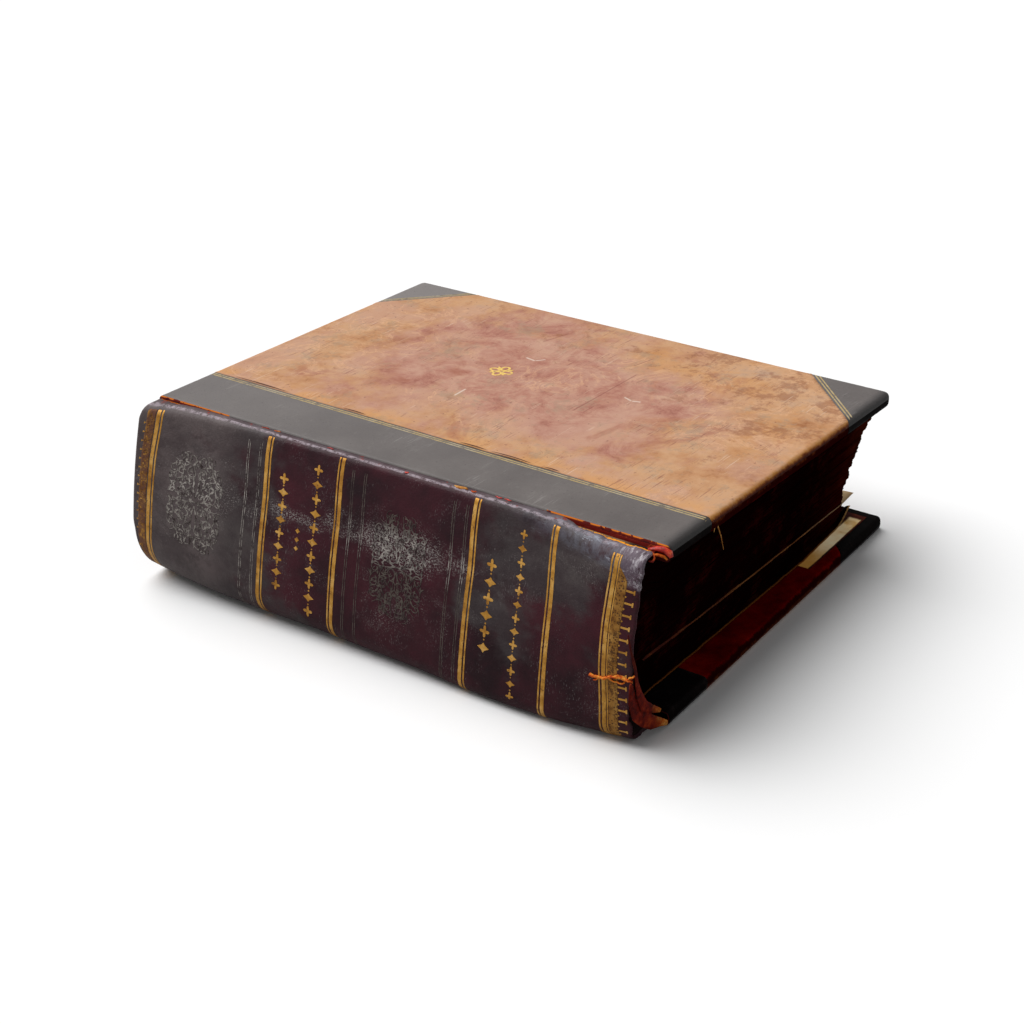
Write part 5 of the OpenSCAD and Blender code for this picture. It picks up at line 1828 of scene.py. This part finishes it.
def cloth_fray():
    """Threads that stand out of the front cloth's worn tail and fore edges."""
    rng = random.Random(12)
    points, faces = [], []
    for n in range(330):
        along_tail = n % 3 < 2
        v = rng.random()
        if along_tail:
            x, y, out = 36.0 + v * (BOARD_W - TAIL_CORNER[0] - 37.0), rng.uniform(0.1, 0.9), (0.0, -1.0)
        else:
            y = TAIL_CORNER[1] + 1.0 + v * (BOARD_H - HEAD_CORNER[1] - TAIL_CORNER[1] - 2.0)
            x, out = BOARD_W - rng.uniform(0.1, 0.9), (1.0, 0.0)
        long = rng.uniform(0.7, 2.2)
        lean = rng.uniform(-0.9, 0.9)
        steps = 4
        faces += tube_faces(len(points), steps + 1)
        wide = rng.uniform(0.10, 0.26)
        inset = min(y, BOARD_W - x)
        for i in range(steps + 1):
            t = i / steps
            forward = 0.35 * math.sin(t * 2.0)
            px = x + out[0] * forward + lean * t * long * along_tail
            py = y + out[1] * forward + lean * t * long * (not along_tail)
            depth = rounding(inset) + long * t * t - 0.15 + 0.2 * t
            w = wide * (1.0 - 0.8 * t)
            for a, b in ((-w, -w), (w, -w), (w, w), (-w, w)):
                points.append(on_front(px + a * along_tail, py + a * (not along_tail), depth + b))
    piece("front_cloth_fray", points, faces, [FRAY], "front_cover")


# Room

def studio():
    """A white floor, one soft lamp from the head's side and a low, even sky."""
    floor_data = bpy.data.meshes.new("floor")
    reach = 6.0
    floor_data.from_pydata([(-reach, -reach, 0), (reach, -reach, 0), (reach, reach, 0), (-reach, reach, 0)],
                           [], [(0, 1, 2, 3)])
    floor = add("floor", floor_data)
    f = Finish("white_floor", Specular_IOR_Level=0.1, Roughness=0.9)
    seen = f.value("ShaderNodeLightPath", output="Is Camera Ray")
    floor_data.materials.append(f.feed(Base_Color=f.colour(seen, (0.50, 0.50, 0.50), (1.0, 1.0, 1.0))))
    sun_data = bpy.data.lights.new("soft_lamp", "SUN")
    sun_data.energy = 3.15
    sun_data.angle = math.radians(58)
    sun = add("soft_lamp", sun_data)
    sun.rotation_mode = "QUATERNION"
    sun.rotation_quaternion = Vector((-0.02, 0.62, 1.0)).to_track_quat("Z", "Y")
    world = bpy.data.worlds.new("studio_sky")
    bpy.context.scene.world = world
    world.use_nodes = True
    sky = Nodes(world.node_tree)
    rays = sky.node("ShaderNodeLightPath").outputs
    seen, shiny, sent = (Value(sky, rays[f"Is {kind} Ray"]) for kind in ("Camera", "Glossy", "Transmission"))
    either = sky.math("MAXIMUM", seen, sky.math("MAXIMUM", shiny, sent))
    strength = sky.value("ShaderNodeMapRange", None, {"Value": either, "To Min": 0.24, "To Max": 1.0})
    light = sky.value("ShaderNodeBackground", None, {"Strength": strength})
    sky.node("ShaderNodeOutputWorld", None, {"Surface": light})


def photo_camera():
    """The camera of the photograph, solved from the boards' corners. Angles are in degrees."""
    heading_deg, pitch, roll = 35.502, 28.105, -1.820
    place = (-635.6, -372.7, 500.9)
    focal_px, image_px, sensor = 2020.5, 1024, 36.0
    a, e, t = (math.radians(v) for v in (heading_deg, pitch, roll))
    look = Vector((math.cos(e) * math.cos(a), math.cos(e) * math.sin(a), -math.sin(e)))
    right = look.cross(Vector((0, 0, 1))).normalized()
    up = right.cross(look)
    right, up = math.cos(t) * right + math.sin(t) * up, -math.sin(t) * right + math.cos(t) * up
    data = bpy.data.cameras.new("photo_camera")
    data.sensor_width = sensor
    data.lens = focal_px * sensor / image_px
    data.clip_start, data.clip_end = 0.01, 50.0
    cam = add("photo_camera", data)
    turn = Matrix((right, up, -look)).transposed()
    cam.matrix_world = Matrix.Translation(at(*place)) @ turn.to_4x4()
    bpy.context.scene.camera = cam


studio()
photo_camera()
bpy.context.scene.view_settings.view_transform = "Standard"

dress_cad_nodes()
spine_leather()
spine_lining()
sewing_cords()
spine_rules()
gilt_grounds()
gold_stamps()
arabesque("spine_arabesque_head", 50.5, UPPER_BLOCK_Y + 1.8, 26.0, 16.0, 3)
arabesque("spine_arabesque_middle", 46.5, LOWER_BLOCK_Y + 1.8, 24.0, 15.5, 5)
blind_lines()
cover_pieces("front", on_front, 1.0, lambda y: crack_width(y) > 0.3)
cover_pieces("back", on_back, 6.0, lambda y: y < 24.0)
fillets("front", on_front, 1.0)
fillets("back", on_back, 6.0)
cover_ornament()
text_block()
loose_leaf()
skewed_endleaf()
head_band()
joint_crack()
tail_shreds()
cloth_fray()
